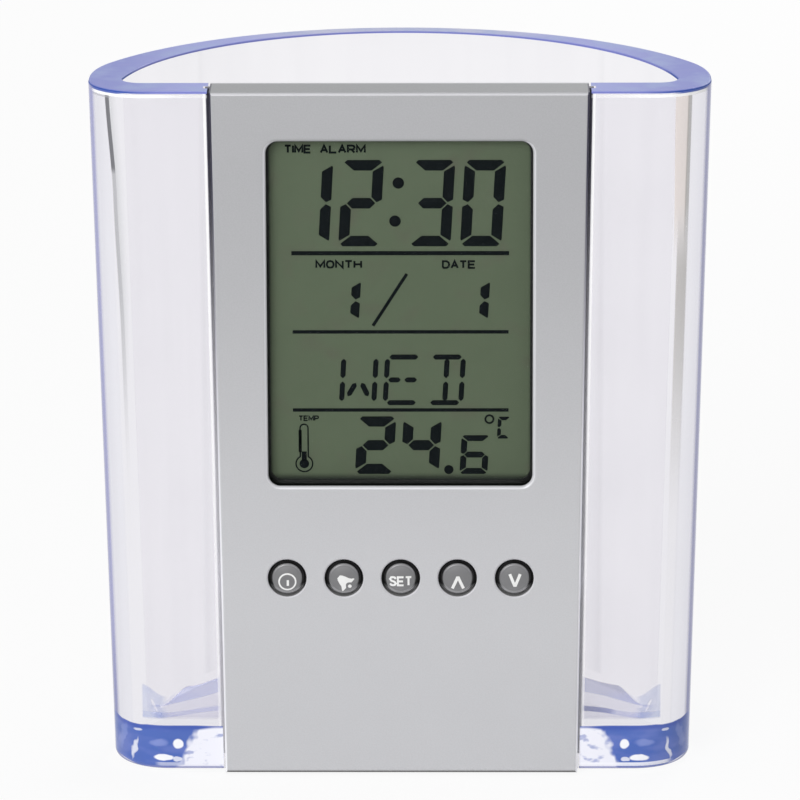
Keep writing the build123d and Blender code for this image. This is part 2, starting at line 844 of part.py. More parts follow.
# Battery door: swings out and up about the barrel along its upper edge.
with BuildPart() as battery_door:
    with BuildSketch(facing(wall_depth)):
        with Locations((battery_offset, (door_base + hinge_level) / 2)):
            Rectangle(door_width, hinge_level - door_base)
    extrude(amount=door_thickness)
    with BuildSketch(Plane(origin=hinge_origin, z_dir=(1, 0, 0))):
        Circle(barrel_radius)
    extrude(amount=door_width / 2, both=True)
    with BuildSketch(Plane(origin=hinge_origin, z_dir=(1, 0, 0))):
        Circle(pin_radius)
    extrude(amount=door_width / 2 + pin_length + door_gap, both=True)
    with BuildSketch(facing(wall_depth - door_thickness)):
        for side in (-1, 1):
            with Locations((battery_offset + side * door_rib_spread / 2, battery_level)):
                Rectangle(door_rib_thickness, door_rib_length)
    extrude(amount=wall_depth - door_thickness - battery_back - door_rib_gap)
    with BuildSketch(facing(wall_depth)):
        for row in range(grip_count):
            with Locations((battery_offset, door_base + grip_inset + row * grip_pitch)):
                Rectangle(grip_width, grip_height)
    extrude(amount=grip_depth, mode=Mode.SUBTRACT)
save(battery_door, "battery_door")


def cross_recess(places, depth, width, length):
    """Sketches a cross-shaped driver recess on each screw head."""
    with BuildSketch(facing(depth - cross_depth)) as recess:
        with Locations(*places):
            Rectangle(width, length)
            Rectangle(length, width)
    return recess.sketch


# Case screws: countersunk screws through the cover into the shell's bosses.
with BuildPart() as case_screws:
    for place in case_places:
        with BuildSketch(facing(head_depth)):
            with Locations(place):
                Circle(case_head_radius)
        with BuildSketch(facing(head_depth - case_head_height)):
            with Locations(place):
                Circle(case_screw_radius)
        loft(ruled=True)
    with BuildSketch(facing(head_depth - case_head_height)):
        with Locations(*case_places):
            Circle(case_screw_radius)
    extrude(amount=case_screw_length - case_head_height)
    recess = cross_recess(case_places, head_depth, cross_width, cross_length)
    extrude(recess, amount=-cross_depth, mode=Mode.SUBTRACT)
save(case_screws, "case_screws")

# Board screws: pan-head screws that hold the board on its bosses.
with BuildPart() as board_screws:
    with BuildSketch(facing(board_back + board_head_height)):
        with Locations(*board_places):
            Circle(board_head_radius)
    extrude(amount=board_head_height)
    with BuildSketch(facing(board_back)):
        with Locations(*board_places):
            Circle(board_screw_radius)
    extrude(amount=board_screw_length)
    cross_share = board_head_radius / case_head_radius
    recess = cross_recess(
        board_places, board_back + board_head_height, cross_width * cross_share, cross_length * cross_share
    )
    extrude(recess, amount=-cross_depth, mode=Mode.SUBTRACT)
save(board_screws, "board_screws")
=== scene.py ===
"""The looks of a pen holder clock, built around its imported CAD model.

Laid out as an add-on: each group of pieces has its settings and an operator, and the sidebar
panel lists them. Lengths are metres in the CAD frame: +Z up, the front faces -Y. A depth is
measured back from the front of the silver panel.
"""

import math

import bmesh
import bpy
from bpy.props import FloatProperty, FloatVectorProperty, PointerProperty
from bpy.types import Operator, Panel, PropertyGroup
from mathutils import Matrix, Vector
from mathutils.bvhtree import BVHTree


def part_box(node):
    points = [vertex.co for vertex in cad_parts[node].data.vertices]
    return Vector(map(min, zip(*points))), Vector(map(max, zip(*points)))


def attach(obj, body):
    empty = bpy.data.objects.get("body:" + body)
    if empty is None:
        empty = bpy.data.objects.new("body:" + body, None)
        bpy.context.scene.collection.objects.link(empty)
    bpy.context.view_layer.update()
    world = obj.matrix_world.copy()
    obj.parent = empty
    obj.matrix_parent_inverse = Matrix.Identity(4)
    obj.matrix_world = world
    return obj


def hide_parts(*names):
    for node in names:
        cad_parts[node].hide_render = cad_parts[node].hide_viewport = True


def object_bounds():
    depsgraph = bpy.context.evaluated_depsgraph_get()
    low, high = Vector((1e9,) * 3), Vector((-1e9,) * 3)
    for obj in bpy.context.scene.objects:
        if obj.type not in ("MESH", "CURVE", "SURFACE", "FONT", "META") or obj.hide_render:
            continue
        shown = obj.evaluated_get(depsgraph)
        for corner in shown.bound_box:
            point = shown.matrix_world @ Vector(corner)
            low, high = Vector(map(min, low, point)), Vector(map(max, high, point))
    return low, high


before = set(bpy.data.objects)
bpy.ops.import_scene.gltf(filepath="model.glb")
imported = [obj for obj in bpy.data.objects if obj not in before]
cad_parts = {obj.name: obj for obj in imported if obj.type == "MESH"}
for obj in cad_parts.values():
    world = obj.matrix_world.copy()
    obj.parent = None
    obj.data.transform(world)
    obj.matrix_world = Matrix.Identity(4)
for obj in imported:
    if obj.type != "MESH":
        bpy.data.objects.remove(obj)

bl_info = {
    "name": "Pen Holder Clock",
    "version": (1, 0, 0),
    "blender": (4, 5, 0),
    "location": "View3D > Sidebar > Pen Clock",
    "description": "Builds the looks of a clear pen holder with a silver digital clock in its front",
    "category": "Object",
}

MM = 0.001
CAD_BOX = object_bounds()
PANEL_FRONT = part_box("front_shell")[0].y
CUP_LOW, CUP_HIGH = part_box("cup_body")
BUTTON_BODIES = {
    "mode_button": "mode_key",
    "alarm_button": "alarm_key",
    "set_button": "set_key",
    "up_button": "up_key",
    "down_button": "down_key",
}
WHITE = (1.0, 1.0, 1.0)
# Levels on the panel: from the foot to the head of the row of button holes and of the display
# window, and those over which painted light comes to the lower side of a hole
HOLES = (28.5 * MM, 35.5 * MM)
WINDOW = (45 * MM, 103 * MM)
HOLE_LIT = (31 * MM, 29.8 * MM)


def length(name, words, default):
    """A length that can be changed, given in millimetres."""
    return FloatProperty(
        name=name, description=words, default=default * MM, unit="LENGTH", precision=5
    )


def number(name, words, default, unit="NONE"):
    """A number that can be changed."""
    return FloatProperty(name=name, description=words, default=default, unit=unit)


def colour(name, words, default):
    """A colour that can be changed."""
    return FloatVectorProperty(
        name=name, description=words, default=default, min=0, max=1, size=3, subtype="COLOR"
    )


class CupSettings(PropertyGroup):
    """Sizes and colours of the clear cup."""

    rim_width: length("Rim width", "Width of the cup at its rim", 95.0)
    base_width: length("Base width", "Width of the cup where it would meet the table", 90.0)
    back_draft: length("Back draft", "How far the back leans out from base to rim", 2.4)
    side_depth: length("Flank depth", "Where the flanks meet the round back", 16.0)
    front_corner: length("Front corner", "Radius of the two front corners", 8.8)
    back_corner: length("Back corner", "Radius where flank and back meet", 20.16)
    front_wall: length("Front wall", "Thickness of the front wall", 6.4)
    flank_wall: length("Flank wall", "Thickness of the side walls at the front", 4.6)
    back_wall: length("Back wall", "Thickness of the back wall", 2.8)
    floor: length("Floor", "Thickness of the floor", 5.8)
    inner_corner: length("Inner corner", "Radius of the hollow's front corners", 3.0)
    floor_round: length("Floor round", "Radius between the hollow's wall and floor", 1.5)
    base_round: length("Base round", "Radius round the outside of the base", 1.2)
    rim_round: length("Rim round", "Radius on both edges of the rim", 0.35)
    slot_base: length("Slot at the base", "Width of the slot for the clock at its foot", 55.3)
    slot_flare: length("Slot flare", "How much wider the slot is at the rim", 2.8)
    slot_gap: length("Slot gap", "Room round the clock in its slot", 0.3)
    ledge: length("Ledge", "Height of the ledge that the clock stands on", 2.0)
    groove: length("Groove", "Depth of the grooves in the sides of the slot", 0.7)
    foot_radius: length("Foot radius", "Radius of the recesses for the feet", 3.75)
    foot_recess: length("Foot recess", "Depth of the recesses for the feet", 0.4)
    deep_base: length("Deep base", "How high up its outside the thick base shows", 7.35)
    sheet: colour("Sheet", "What an outer face lets through", (0.935, 0.930, 0.950))
    inner_sheet: colour("Inner sheet", "What an inner face lets through", (0.984, 0.980, 0.986))
    rim_colour: colour("Rim colour", "Colour of the cut edge of the rim", (0.36, 0.39, 0.76))
    edge_colour: colour("Edge colour", "Colour of a wall seen edge on", (0.22, 0.23, 0.52))
    base_colour: colour("Base colour", "Colour of the thick base", (0.050, 0.120, 0.46))


class ClockSettings(PropertyGroup):
    """Sizes and colours of the clock module."""

    paint: colour("Paint", "Silver paint of the panel", (0.50, 0.502, 0.52))
    cover: colour("Cover", "Plastic of the rear cover and battery door", (0.50, 0.51, 0.53))
    ground: colour("Display ground", "Colour of the unlit display", (0.0945, 0.118, 0.075))
    mark: colour("Display marks", "Colour of the figures", (0.009, 0.011, 0.013))
    figure_lean: number("Figure lean", "How far the figures lean for each unit of height", 0.057)


class ButtonSettings(PropertyGroup):
    """Sizes and colours of the five buttons."""

    radius: length("Radius", "Radius of a cap", 2.72)
    crown: length("Crown", "How far a cap's middle stands out of the panel", 0.11)
    recess: length("Recess", "How far a cap's shoulder lies below the panel", 0.12)
    dome: length("Dome", "Radius of a cap's domed face", 2.37)
    shoulder: length("Shoulder", "Radius of the domed face's edge", 0.42)
    sink: length("Sink", "How far the collar round the dome lies below the panel", 0.95)
    bevel: length("Bevel", "Cut along the collar's outer edge", 0.1)
    flange: length("Flange", "Thickness of the flange that holds a button in", 0.6)
    flange_corner: length("Flange corner", "Radius of the flange's corners", 0.8)
    cap: colour("Cap", "Plastic of the caps", (0.16, 0.16, 0.165))
    sign: colour("Sign", "Printed signs", (0.80, 0.80, 0.79))


class StageSettings(PropertyGroup):
    """The camera, the floor and the light."""

    camera_place: FloatVectorProperty(
        name="Camera",
        description="Where the camera stands",
        default=(0.009955, -0.900130, 0.303580),
        size=3,
        subtype="TRANSLATION",
        precision=5,
    )
    pitch: number("Pitch", "How far the camera looks down", 0.270571, "ROTATION")
    yaw: number("Yaw", "How far the camera turns left", 0.011384, "ROTATION")
    roll: number("Roll", "How far the camera leans", -0.003317, "ROTATION")
    lens: number("Lens", "Focal length on a 36 mm sensor", 267.54)
    world: number("World light", "Strength of the light from all round", 0.36)
    key: number("Key light", "Power of the large lamp in front", 8.0, "POWER")
    fill: number("Fill light", "Power of the lamp behind", 4.5, "POWER")


class Field:
    """A shader socket that takes part in sums: each operator adds a Math node."""

    def __init__(self, graph, socket):
        self.graph = graph
        self.socket = socket

    def math(self, operation, *values):
        """The result of a Math node on this field and other values."""
        sockets = dict(enumerate((self, *values)))
        return self.graph.field("ShaderNodeMath", {"operation": operation}, sockets)

    def __add__(self, other):
        return self.math("ADD", other)

    __radd__ = __add__

    def __mul__(self, other):
        return self.math("MULTIPLY", other)

    __rmul__ = __mul__

    def __sub__(self, other):
        return self.math("SUBTRACT", other)

    def __rsub__(self, other):
        return (self * -1) + other

    def ramp(self, low, high, start=0, end=1):
        """This field taken from low..high to start..end, smoothly and no further."""
        return self.graph.field(
            "ShaderNodeMapRange",
            {"interpolation_type": "SMOOTHSTEP"},
            {0: self, 1: low, 2: high, 3: start, 4: end},
        )

    def band(self, low, high, soft):
        """One between two values, falling softly to nothing outside them."""
        return self.ramp(low - soft, low) * self.ramp(high + soft, high)


class Graph:
    """A tree of shader nodes, filled one node at a time."""

    def __init__(self, tree):
        self.tree = tree

    def add(self, kind, settings=None, values=None):
        """Adds a node: its settings first, then the values or links of its sockets."""
        node = self.tree.nodes.new(kind)
        for name, value in (settings or {}).items():
            setattr(node, name, value)
        for socket, value in (values or {}).items():
            self.feed(node.inputs[socket], value)
        return node

    def feed(self, socket, value):
        """Links a field or socket to a socket, or sets its value."""
        if isinstance(value, Field):
            self.tree.links.new(value.socket, socket)
        elif isinstance(value, bpy.types.NodeSocket):
            self.tree.links.new(value, socket)
        elif isinstance(value, tuple) and socket.type == "RGBA":
            socket.default_value = (*value, 1)
        else:
            socket.default_value = value

    def field(self, kind, settings=None, values=None, output=0):
        """An output of a new node, ready for sums."""
        return Field(self, self.add(kind, settings, values).outputs[output])


class Finish(Graph):
    """One procedural material, built round its Principled shader."""

    def __init__(self, name, constants):
        self.material = bpy.data.materials.new(name)
        self.material.use_nodes = True
        super().__init__(self.material.node_tree)
        self.shader = self.tree.nodes["Principled BSDF"]
        for socket, value in constants.items():
            self.feed(self.shader.inputs[socket], value)

    def place(self, axis=None):
        """Where a point is in its piece, or how far along one axis."""
        spot = self.add("ShaderNodeTexCoord").outputs["Object"]
        if axis is None:
            return spot
        return self.field("ShaderNodeSeparateXYZ", None, {0: spot}, axis)

    def turned(self):
        """Which way the surface faces: how far along each axis."""
        facing = self.add("ShaderNodeTexCoord").outputs["Normal"]
        split = self.add("ShaderNodeSeparateXYZ", None, {0: facing})
        return [Field(self, socket) for socket in split.outputs]

    def noise(self, grain, detail=2.0, stretch=(1, 1, 1)):
        """Noise whose grains are about this long, in metres, drawn out by stretch."""
        values = {"Vector": self.place(), "Scale": stretch}
        spot = self.add("ShaderNodeMapping", None, values).outputs[0]
        values = {"Vector": spot, "Scale": 1 / grain, "Detail": detail}
        return self.field("ShaderNodeTexNoise", None, values)

    def blend(self, factor, first, second):
        """A colour between two colours."""
        values = {0: factor, 6: first, 7: second}
        return self.add("ShaderNodeMix", {"data_type": "RGBA"}, values).outputs[2]

    def bump(self, height, distance, strength=1.0):
        """Small relief on the surface."""
        values = {"Height": height, "Distance": distance, "Strength": strength}
        self.feed(self.shader.inputs["Normal"], self.add("ShaderNodeBump", None, values).outputs[0])

    def paint(self, **fields):
        """Links varying values to the shader: underscores in a name stand for spaces."""
        for name, value in fields.items():
            self.feed(self.shader.inputs[name.replace("_", " ").title()], value)

    def show(self, factor, first, second):
        """Shows a mix of two shaders: the first alone where the factor is nothing."""
        values = {0: factor, 1: first.outputs[0], 2: second.outputs[0]}
        mixed = self.add("ShaderNodeMixShader", None, values)
        self.feed(self.tree.nodes["Material Output"].inputs["Surface"], mixed.outputs[0])


def shaded(base, amount):
    """A colour made lighter or darker by a share."""
    return tuple(min(1.0, part * (1 + amount)) for part in base)


def plain_finish(name, base, rough, grain=0.6 * MM, contrast=0.08, relief=0.01 * MM, shine=0.5):
    """A moulded or drawn surface: fine mottling, uneven gloss and slight relief."""
    finish = Finish(name, {"Specular IOR Level": shine})
    cloud = finish.noise(grain * 12, 3.0)
    fine = finish.noise(grain, 4.0)
    mix = finish.blend(fine * 0.5 + cloud * 0.5, shaded(base, -contrast), shaded(base, contrast))
    finish.paint(base_color=mix, roughness=fine * 0.12 + cloud * 0.08 + (rough - 0.1))
    finish.bump(fine, relief)
    return finish.material


class ClearFinish(Finish):
    """Clear plastic: each layer laid on it covers a share of what is seen through it."""

    def __init__(self, name, cup, sheet, dust):
        super().__init__(name, {"IOR": 1.49, "Specular IOR Level": 0.3})
        self.sheet, self.edge = tuple(sheet), tuple(cup.edge_colour)
        self.side, self.depth, self.level = self.place(0), self.place(1), self.place(2)
        self.across = self.side.math("ABSOLUTE")
        self.upper = self.level.ramp(30 * MM, 100 * MM)
        self.outer = 1 - self.field("ShaderNodeNewGeometry", None, None, "Backfacing")
        self.streak = self.noise(5 * MM, 2.0, (1, 1, 0.06))
        self.haze = self.noise(16 * MM, 3.0)
        self.cover = self.streak.ramp(0.30, 0.75, 0.0, dust) + self.haze.ramp(0.35, 0.8, 0.0, dust)
        self.tone = (0.70, 0.70, 0.76)

    def right(self):
        """One on the right half of the cup, nothing on the left."""
        return self.side.ramp(-1 * MM, 1 * MM)

    def lay(self, mask, tone):
        """Lays a tone over what is there, as thick as the mask."""
        cover = 1 - (1 - self.cover) * (1 - mask)
        self.tone = self.blend(mask.math("DIVIDE", cover + 0.001), self.tone, tone)
        self.cover = cover

    def outline(self, start, full, strength):
        """Lays blue where the surface is seen edge on from its own side, deeper near the base."""
        edge = self.field("ShaderNodeLayerWeight", None, {"Blend": 0.5}, 1).ramp(start, full)
        near_base = self.level.ramp(24 * MM, 10 * MM)
        tone = self.blend(near_base, self.edge, (0.10, 0.12, 0.40))
        self.lay(edge * (self.outer * 0.92 + 0.08) * strength, tone)

    def close(self):
        """Joins what the layers leave clear with what they cover."""
        self.paint(base_color=self.tone, roughness=self.haze.ramp(0.3, 0.8, 0.05, 0.14))
        self.bump(self.streak, 0.02 * MM, 0.3)
        clear = self.add("ShaderNodeBsdfTransparent", None, {"Color": self.sheet})
        self.show(self.cover, clear, self.shader)
        return self.material


def outside_plastic(cup):
    """The cup's outside: the painted lines that its corners draw, its painted bright edges and its
    deep base.
    """
    finish = ClearFinish("clear_plastic", cup, cup.sheet, 0.03)
    front = finish.depth.ramp(-8 * MM, -13 * MM)
    lay_corner_lines(finish, front, half_width(cup, finish.level) - finish.across)
    lay_slot_lines(finish, front, finish.across - slot_half(cup, finish.level))
    lay_rim_lines(finish, front)
    finish.outline(0.55, 0.73, 0.92)
    lay_low_gleam(finish, front)
    lay_base(finish, cup, front)
    return finish.close()


def lay_corner_lines(finish, front, inset):
    """Painted lines that stand in for the grey and beige lines into which the front corners bend
    what is behind them.

    An inset is how far in a point is from the cup's outline.
    """
    level = finish.level
    left = finish.side.ramp(1 * MM, -1 * MM) * front
    right = finish.right() * front
    veil, sliver_grey, dark_grey = (0.50, 0.53, 0.68), (0.36, 0.38, 0.39), (0.12, 0.12, 0.135)
    beige, line_grey, dull = (0.78, 0.69, 0.64), (0.34, 0.33, 0.31), (0.50, 0.48, 0.46)
    finish.lay(inset.band(0.7 * MM, 3.2 * MM, 0.4 * MM) * front * 0.10, veil)
    # On the left, a grey sliver with a dark line along its outer edge
    start = level.ramp(109 * MM, 92 * MM, 2.9 * MM, 3.6 * MM)
    past = inset - (start + level.ramp(92 * MM, 70 * MM, 0.0, 0.4 * MM))
    wide = level.ramp(45 * MM, 88 * MM, 0.4 * MM, 2.0 * MM)
    sliver = past.ramp(wide, 0.1 * MM) * past.ramp(-0.1 * MM, 0.1 * MM)
    finish.lay(sliver * left * level.ramp(46 * MM, 84 * MM, 0.0, 0.42), sliver_grey)
    line = past.band(0.0, 0.5 * MM, 0.12 * MM) * left
    dark = level.ramp(95.2 * MM, 96.6 * MM, 0.0, 0.62) + level.ramp(44 * MM, 84 * MM, 0.0, 0.28)
    finish.lay(line * dark, dark_grey)
    # On the right, a beige and a grey line high up, and a dull one lower down
    upper = level.ramp(80 * MM, 92 * MM)
    reach = level.ramp(84 * MM, 108 * MM, 5.2 * MM, 5.6 * MM)
    finish.lay(inset.band(3.65 * MM, reach, 0.15 * MM) * right * upper * 0.7, beige)
    finish.lay(inset.band(3.25 * MM, 3.65 * MM, 0.2 * MM) * right * upper * 0.7, line_grey)
    lower = (1 - upper) * level.ramp(36 * MM, 80 * MM, 0.05, 0.8)
    finish.lay(inset.band(3.3 * MM, 4.6 * MM, 0.3 * MM) * right * lower, dull)


def lay_slot_lines(finish, front, beside):
    """A painted white highlight along each edge of the slot, and painted shade on its side close by:
    dark high up, grey low down.

    Beside is how far out a point is from the slot.
    """
    upper = finish.upper
    low_grey, high_dark = (0.52, 0.52, 0.53), (0.050, 0.047, 0.08)
    # Painted highlight along each edge of the slot
    white = beside.band(0.24 * MM, 0.58 * MM, 0.12 * MM) * (upper * 0.4 + 0.4)
    finish.lay(white * front, WHITE)
    # Painted shade on the slot's side, weaker on the right and low down
    shade = finish.blend(upper, low_grey, high_dark)
    lit = (1 - finish.right() * 0.5) * finish.level.ramp(8 * MM, 30 * MM, 0.3, 1.0)
    side = beside.band(-0.2 * MM, 0.08 * MM, 0.06 * MM) * (upper * 0.4 + 0.5)
    finish.lay(side * front * lit, shade)


def lay_rim_lines(finish, front):
    """Painted white and blue lines under the rim, standing in for the light that the round of its
    edge throws on the front.
    """
    across, level = finish.across, finish.level
    high = CUP_HIGH.z
    rim_blue, rim_grey = (0.04, 0.09, 0.40), (0.36, 0.36, 0.40)
    corner = across.ramp(41 * MM, 43 * MM)
    bright = (1 - corner) * across.ramp(31 * MM, 39.5 * MM, 0.3, 0.85) + corner * 0.85
    line = level.band(high - 0.95 * MM, corner * (0.2 * MM) + (high - 0.58 * MM), 0.1 * MM)
    finish.lay(line * front * bright, WHITE)
    blue = level.band(high - 0.5 * MM, high, 0.12 * MM) * corner
    finish.lay(blue * front * 0.95, rim_blue)
    grey = level.band(high - 1.3 * MM, high - 1.1 * MM, 0.1 * MM)
    far_left = finish.side.ramp(-43.6 * MM, -44.2 * MM)
    finish.lay(grey * far_left * front * 0.5, rim_grey)


def lay_low_gleam(finish, front):
    """Painted light: the pale blue patch beside each front corner, just above the base, with its
    light slashes.
    """
    across, level, pale_blue = finish.across, finish.level, (0.27, 0.34, 0.62)
    top = across.ramp(36.6 * MM, 40.4 * MM, 12.5 * MM, 14.3 * MM)
    patch = across.ramp(36 * MM, 37.6 * MM) * across.ramp(40.4 * MM, 40.1 * MM)
    patch = patch * (level - top).ramp(0.2 * MM, -0.2 * MM) * level.ramp(8.6 * MM, 9.0 * MM)
    slash = oval(across - level * 0.45, level, 33.45, 11.0, 0.22, 1.0, 0.7)
    slash = slash + oval(across, level, 36.9, 10.9, 0.6, 0.3, 0.7)
    cloud = finish.noise(1.3 * MM, 1.0, (0.8, 0.8, 0.6)).ramp(0.3, 0.7, 0.85, 1.1)
    foot = level.band(9.1 * MM, 9.8 * MM, 0.25 * MM) * 0.16
    strength = slash.ramp(0, 1, 0.36, 0.03) * cloud + foot
    finish.lay(patch * front * strength, pale_blue)


def oval(aside, above, x, z, wide, tall, soft=0.35):
    """One inside an oval, falling softly to nothing at its edge.

    Its middle and half its width and height are in millimetres.
    """
    aside, above = (aside - x * MM) * (1 / (wide * MM)), (above - z * MM) * (1 / (tall * MM))
    return (aside * aside + above * above).ramp(1 + soft, 1 - soft)


def lay_base(finish, cup, front):
    """The thick base: deep blue with soft swirls, painted light streaks at its corners and painted
    bright spots.
    """
    across, level, low = finish.across, finish.level, CUP_LOW.z
    swirl_blue, deep_blue = (0.110, 0.170, 0.52), (0.035, 0.075, 0.40)
    pale_blue, soft_white, bright_white = (0.40, 0.46, 0.80), (0.90, 0.90, 0.96), (0.95, 0.95, 0.98)
    # How far a point is under the top of the thick base, and where the base's foot rises
    top = across.ramp(43.4 * MM, 44.9 * MM, 0.0, 0.4 * MM)
    top = top - across.band(40.8 * MM, 42 * MM, 1.4 * MM) * (0.15 * MM)
    taper = across.ramp(32.5 * MM, 28.6 * MM)
    under = top * front + (low + cup.deep_base) - level - taper * (0.12 * MM)
    foot = across.ramp(38.5 * MM, 45.2 * MM, 0.0, 1.3 * MM) * front + low
    upright = finish.turned()[2].math("ABSOLUTE").ramp(0.9, 0.6)
    body = under.ramp(-0.1 * MM, 0.15 * MM) * (level - foot).ramp(-0.2 * MM, 0.05 * MM)
    body = body * upright * finish.outer
    # Deep blue with swirls in it, deeper along its top
    swirl = finish.noise(3.2 * MM, 2.0, (0.45, 0.45, 1.3)).ramp(0.38, 0.66)
    finish.lay(body * 0.96, finish.blend(swirl, tuple(cup.base_colour), swirl_blue))
    finish.lay(body * under.ramp(1.1 * MM, 0.3 * MM, 0.0, 0.6), deep_blue)
    # Painted light: white beside the clock, broken up by specks
    body = body * front
    ripple = finish.noise(1.6 * MM, 1.0) - 0.5
    wave = across + level * 0.45 + ripple * (3 * MM) + finish.right() * (0.8 * MM)
    speck = finish.noise(1.7 * MM, 2.0, (0.8, 0.8, 1.3)).ramp(0.30, 0.44, 0.4, 0.96)
    near_clock = wave.ramp(35.6 * MM, 34.6 * MM) * speck
    inner = (under + taper * (0.5 * MM)).ramp(0.5 * MM, 1.0 * MM)
    finish.lay(body * near_clock * inner, soft_white)
    # Painted light: pale patches and bright spots with wavy outlines
    aside, above = across + ripple * (1.1 * MM), level + ripple * (0.8 * MM)
    lean, steep = aside + above * 0.2, aside + above * 0.5
    gleam = oval(aside, above, 37.8, 4.9, 1.4, 0.6, 0.85) * 0.4
    gleam = gleam + oval(lean, level, 44.5, 5.0, 0.5, 2.0, 0.8) * 0.28
    finish.lay(body * gleam, pale_blue)
    waved = ripple * (0.5 * MM)
    bright = (
        oval(lean, level, 42.3, 3.5, 0.30, 1.7, 0.7) * 0.7
        + oval(steep, level, 44.5, 6.7, 0.45, 0.22, 0.7) * 0.6
        + oval(across + waved, level, 34.7, 4.75, 0.75, 0.78)
        + oval(across, level + waved, 37.0, 2.5, 1.5, 0.48)
        + oval(aside, above, 34.9, 2.25, 0.75, 0.4) * 0.7
    )
    finish.lay(body * bright.math("MINIMUM", 0.97), bright_white)
    lay_foot_highlights(finish, body)


def lay_foot_highlights(finish, body):
    """Painted light along the foot of the base: a white line, and the duller blue under it."""
    across, level, right, low = finish.across, finish.level, finish.right(), CUP_LOW.z
    highlight_white, foot_blue = (0.93, 0.93, 0.98), (0.21, 0.24, 0.54)
    # Painted highlight along the foot, stronger on the right
    foot_highlight = right * 0.85 + (1 - right) * across.band(34.8 * MM, 37.4 * MM, 1.2 * MM) * 0.45
    line = level.band(low + 0.75 * MM, low + 1.25 * MM, 0.12 * MM)
    line = line * across.ramp(42.5 * MM, 41 * MM)
    finish.lay(body * line * foot_highlight, highlight_white)
    under = level.ramp(low + 0.75 * MM, low + 0.5 * MM) * across.ramp(41 * MM, 38 * MM)
    finish.lay(body * under * 0.8, foot_blue)


def inside_plastic(cup):
    """The cup's inside: the slot's sides with painted shade, dark high up, and the floor with the
    base under it.
    """
    finish = ClearFinish("clear_plastic_inside", cup, cup.inner_sheet, 0.02)
    finish.outline(0.75, 0.95, 0.12)
    # Painted shade on the slot's sides, dark high up and grey low down
    sideways = finish.turned()[0].math("ABSOLUTE")
    gap = sideways.ramp(0.7, 0.9) * finish.across.ramp(32 * MM, 31 * MM)
    low_grey, high_dark = (0.55, 0.55, 0.58), (0.045, 0.04, 0.09)
    tone = finish.blend(finish.upper, low_grey, high_dark)
    finish.lay(gap * finish.level.ramp(30 * MM, 80 * MM, 0.5, 0.95), tone)
    lay_floor(finish, cup)
    return finish.close()


def lay_floor(finish, cup):
    """Painted bands of the base's blue along the floor, standing in for how the plastic bends it up
    the walls.
    """
    across, low = finish.across, CUP_LOW.z + cup.floor
    veil, blue, strong_blue = (0.40, 0.40, 0.72), (0.34, 0.42, 0.88), (0.24, 0.29, 0.62)
    # How far back a point seems to be, and how far back the bands end, begin and have their line
    ripple = finish.noise(6 * MM, 1.0, (1, 0.5, 1)) * (1.6 * MM) - 0.8 * MM
    seen = finish.depth + (finish.level - low) * 3.0 + ripple
    back = across.ramp(26 * MM, 35 * MM, 7.6 * MM, 1.2 * MM)
    back = back + across.ramp(34 * MM, 38 * MM, 0.0, -9.5 * MM)
    middle = across.ramp(24 * MM, 42 * MM, 0.2 * MM, -10 * MM)
    ahead = across.ramp(28 * MM, 37 * MM, -9.8 * MM, -13.1 * MM)
    zone = (back - seen).ramp(-0.5 * MM, 0.4 * MM)
    zone = zone * finish.depth.ramp(-16.8 * MM, -16.2 * MM)
    zone = zone * finish.level.ramp(low + 5 * MM, low + 4 * MM) * across.ramp(40 * MM, 37 * MM)
    finish.lay(zone * seen.ramp(-15 * MM, -14 * MM, 0.05, 0.2), veil)
    finish.lay(zone * (seen - middle).ramp(-0.6 * MM, 0.6 * MM) * 0.42, blue)
    strong = finish.side.ramp(20 * MM, 26 * MM) * across.ramp(33.8 * MM, 32.4 * MM)
    line = zone * (seen - ahead).band(-0.9 * MM, 0.9 * MM, 0.6 * MM)
    finish.lay(line * (strong * 0.5 + 0.3), finish.blend(strong, blue, strong_blue))


def edge_plastic(cup):
    """The rim's flat top, painted to glow with the light that the walls carry, and painted darker
    along its rounded edges.
    """
    finish = Finish("rim_plastic", {"IOR": 1.49, "Specular IOR Level": 0.08})
    streak = finish.noise(6 * MM, 3.0)
    flat = finish.turned()[2].ramp(0.55, 0.95)
    across, depth = finish.place(0).math("ABSOLUTE"), finish.place(1)
    corner = across.ramp(36 * MM, 43 * MM) * depth.ramp(-6 * MM, -10 * MM)
    base, side_blue = tuple(cup.rim_colour), (0.27, 0.30, 0.70)
    edge_blue, corner_blue = (0.20, 0.22, 0.58), (0.035, 0.085, 0.38)
    back_pale, streak_blue = (0.60, 0.62, 0.80), (0.44, 0.52, 0.80)
    round_edge = finish.blend(corner, edge_blue, corner_blue)
    deep = finish.blend(across.ramp(30 * MM, 45 * MM), shaded(base, 0.08), side_blue)
    far = depth.ramp(12 * MM, 21 * MM) * across.ramp(30 * MM, 12 * MM)
    deep = finish.blend(far * 0.85, deep, back_pale)
    top = finish.blend(streak.ramp(0.42, 0.68) * 0.6, deep, streak_blue)
    colours = finish.blend(flat, round_edge, top)
    finish.paint(base_color=colours, roughness=streak.ramp(0.2, 0.8, 0.3, 0.5))
    finish.bump(finish.noise(0.5 * MM), 0.002 * MM)
    return finish.material


def foot_gel():
    """Soft clear gel, slightly cloudy."""
    soft = {"Transmission Weight": 0.35, "IOR": 1.42, "Subsurface Weight": 0.3}
    finish = Finish("foot_gel", soft)
    cloud = finish.noise(1.5 * MM, 3.0)
    colours = finish.blend(cloud, (0.86, 0.88, 0.92), (0.97, 0.97, 0.98))
    finish.paint(base_color=colours, roughness=cloud.ramp(0.2, 0.8, 0.25, 0.45))
    finish.bump(cloud, 0.02 * MM)
    return finish.material


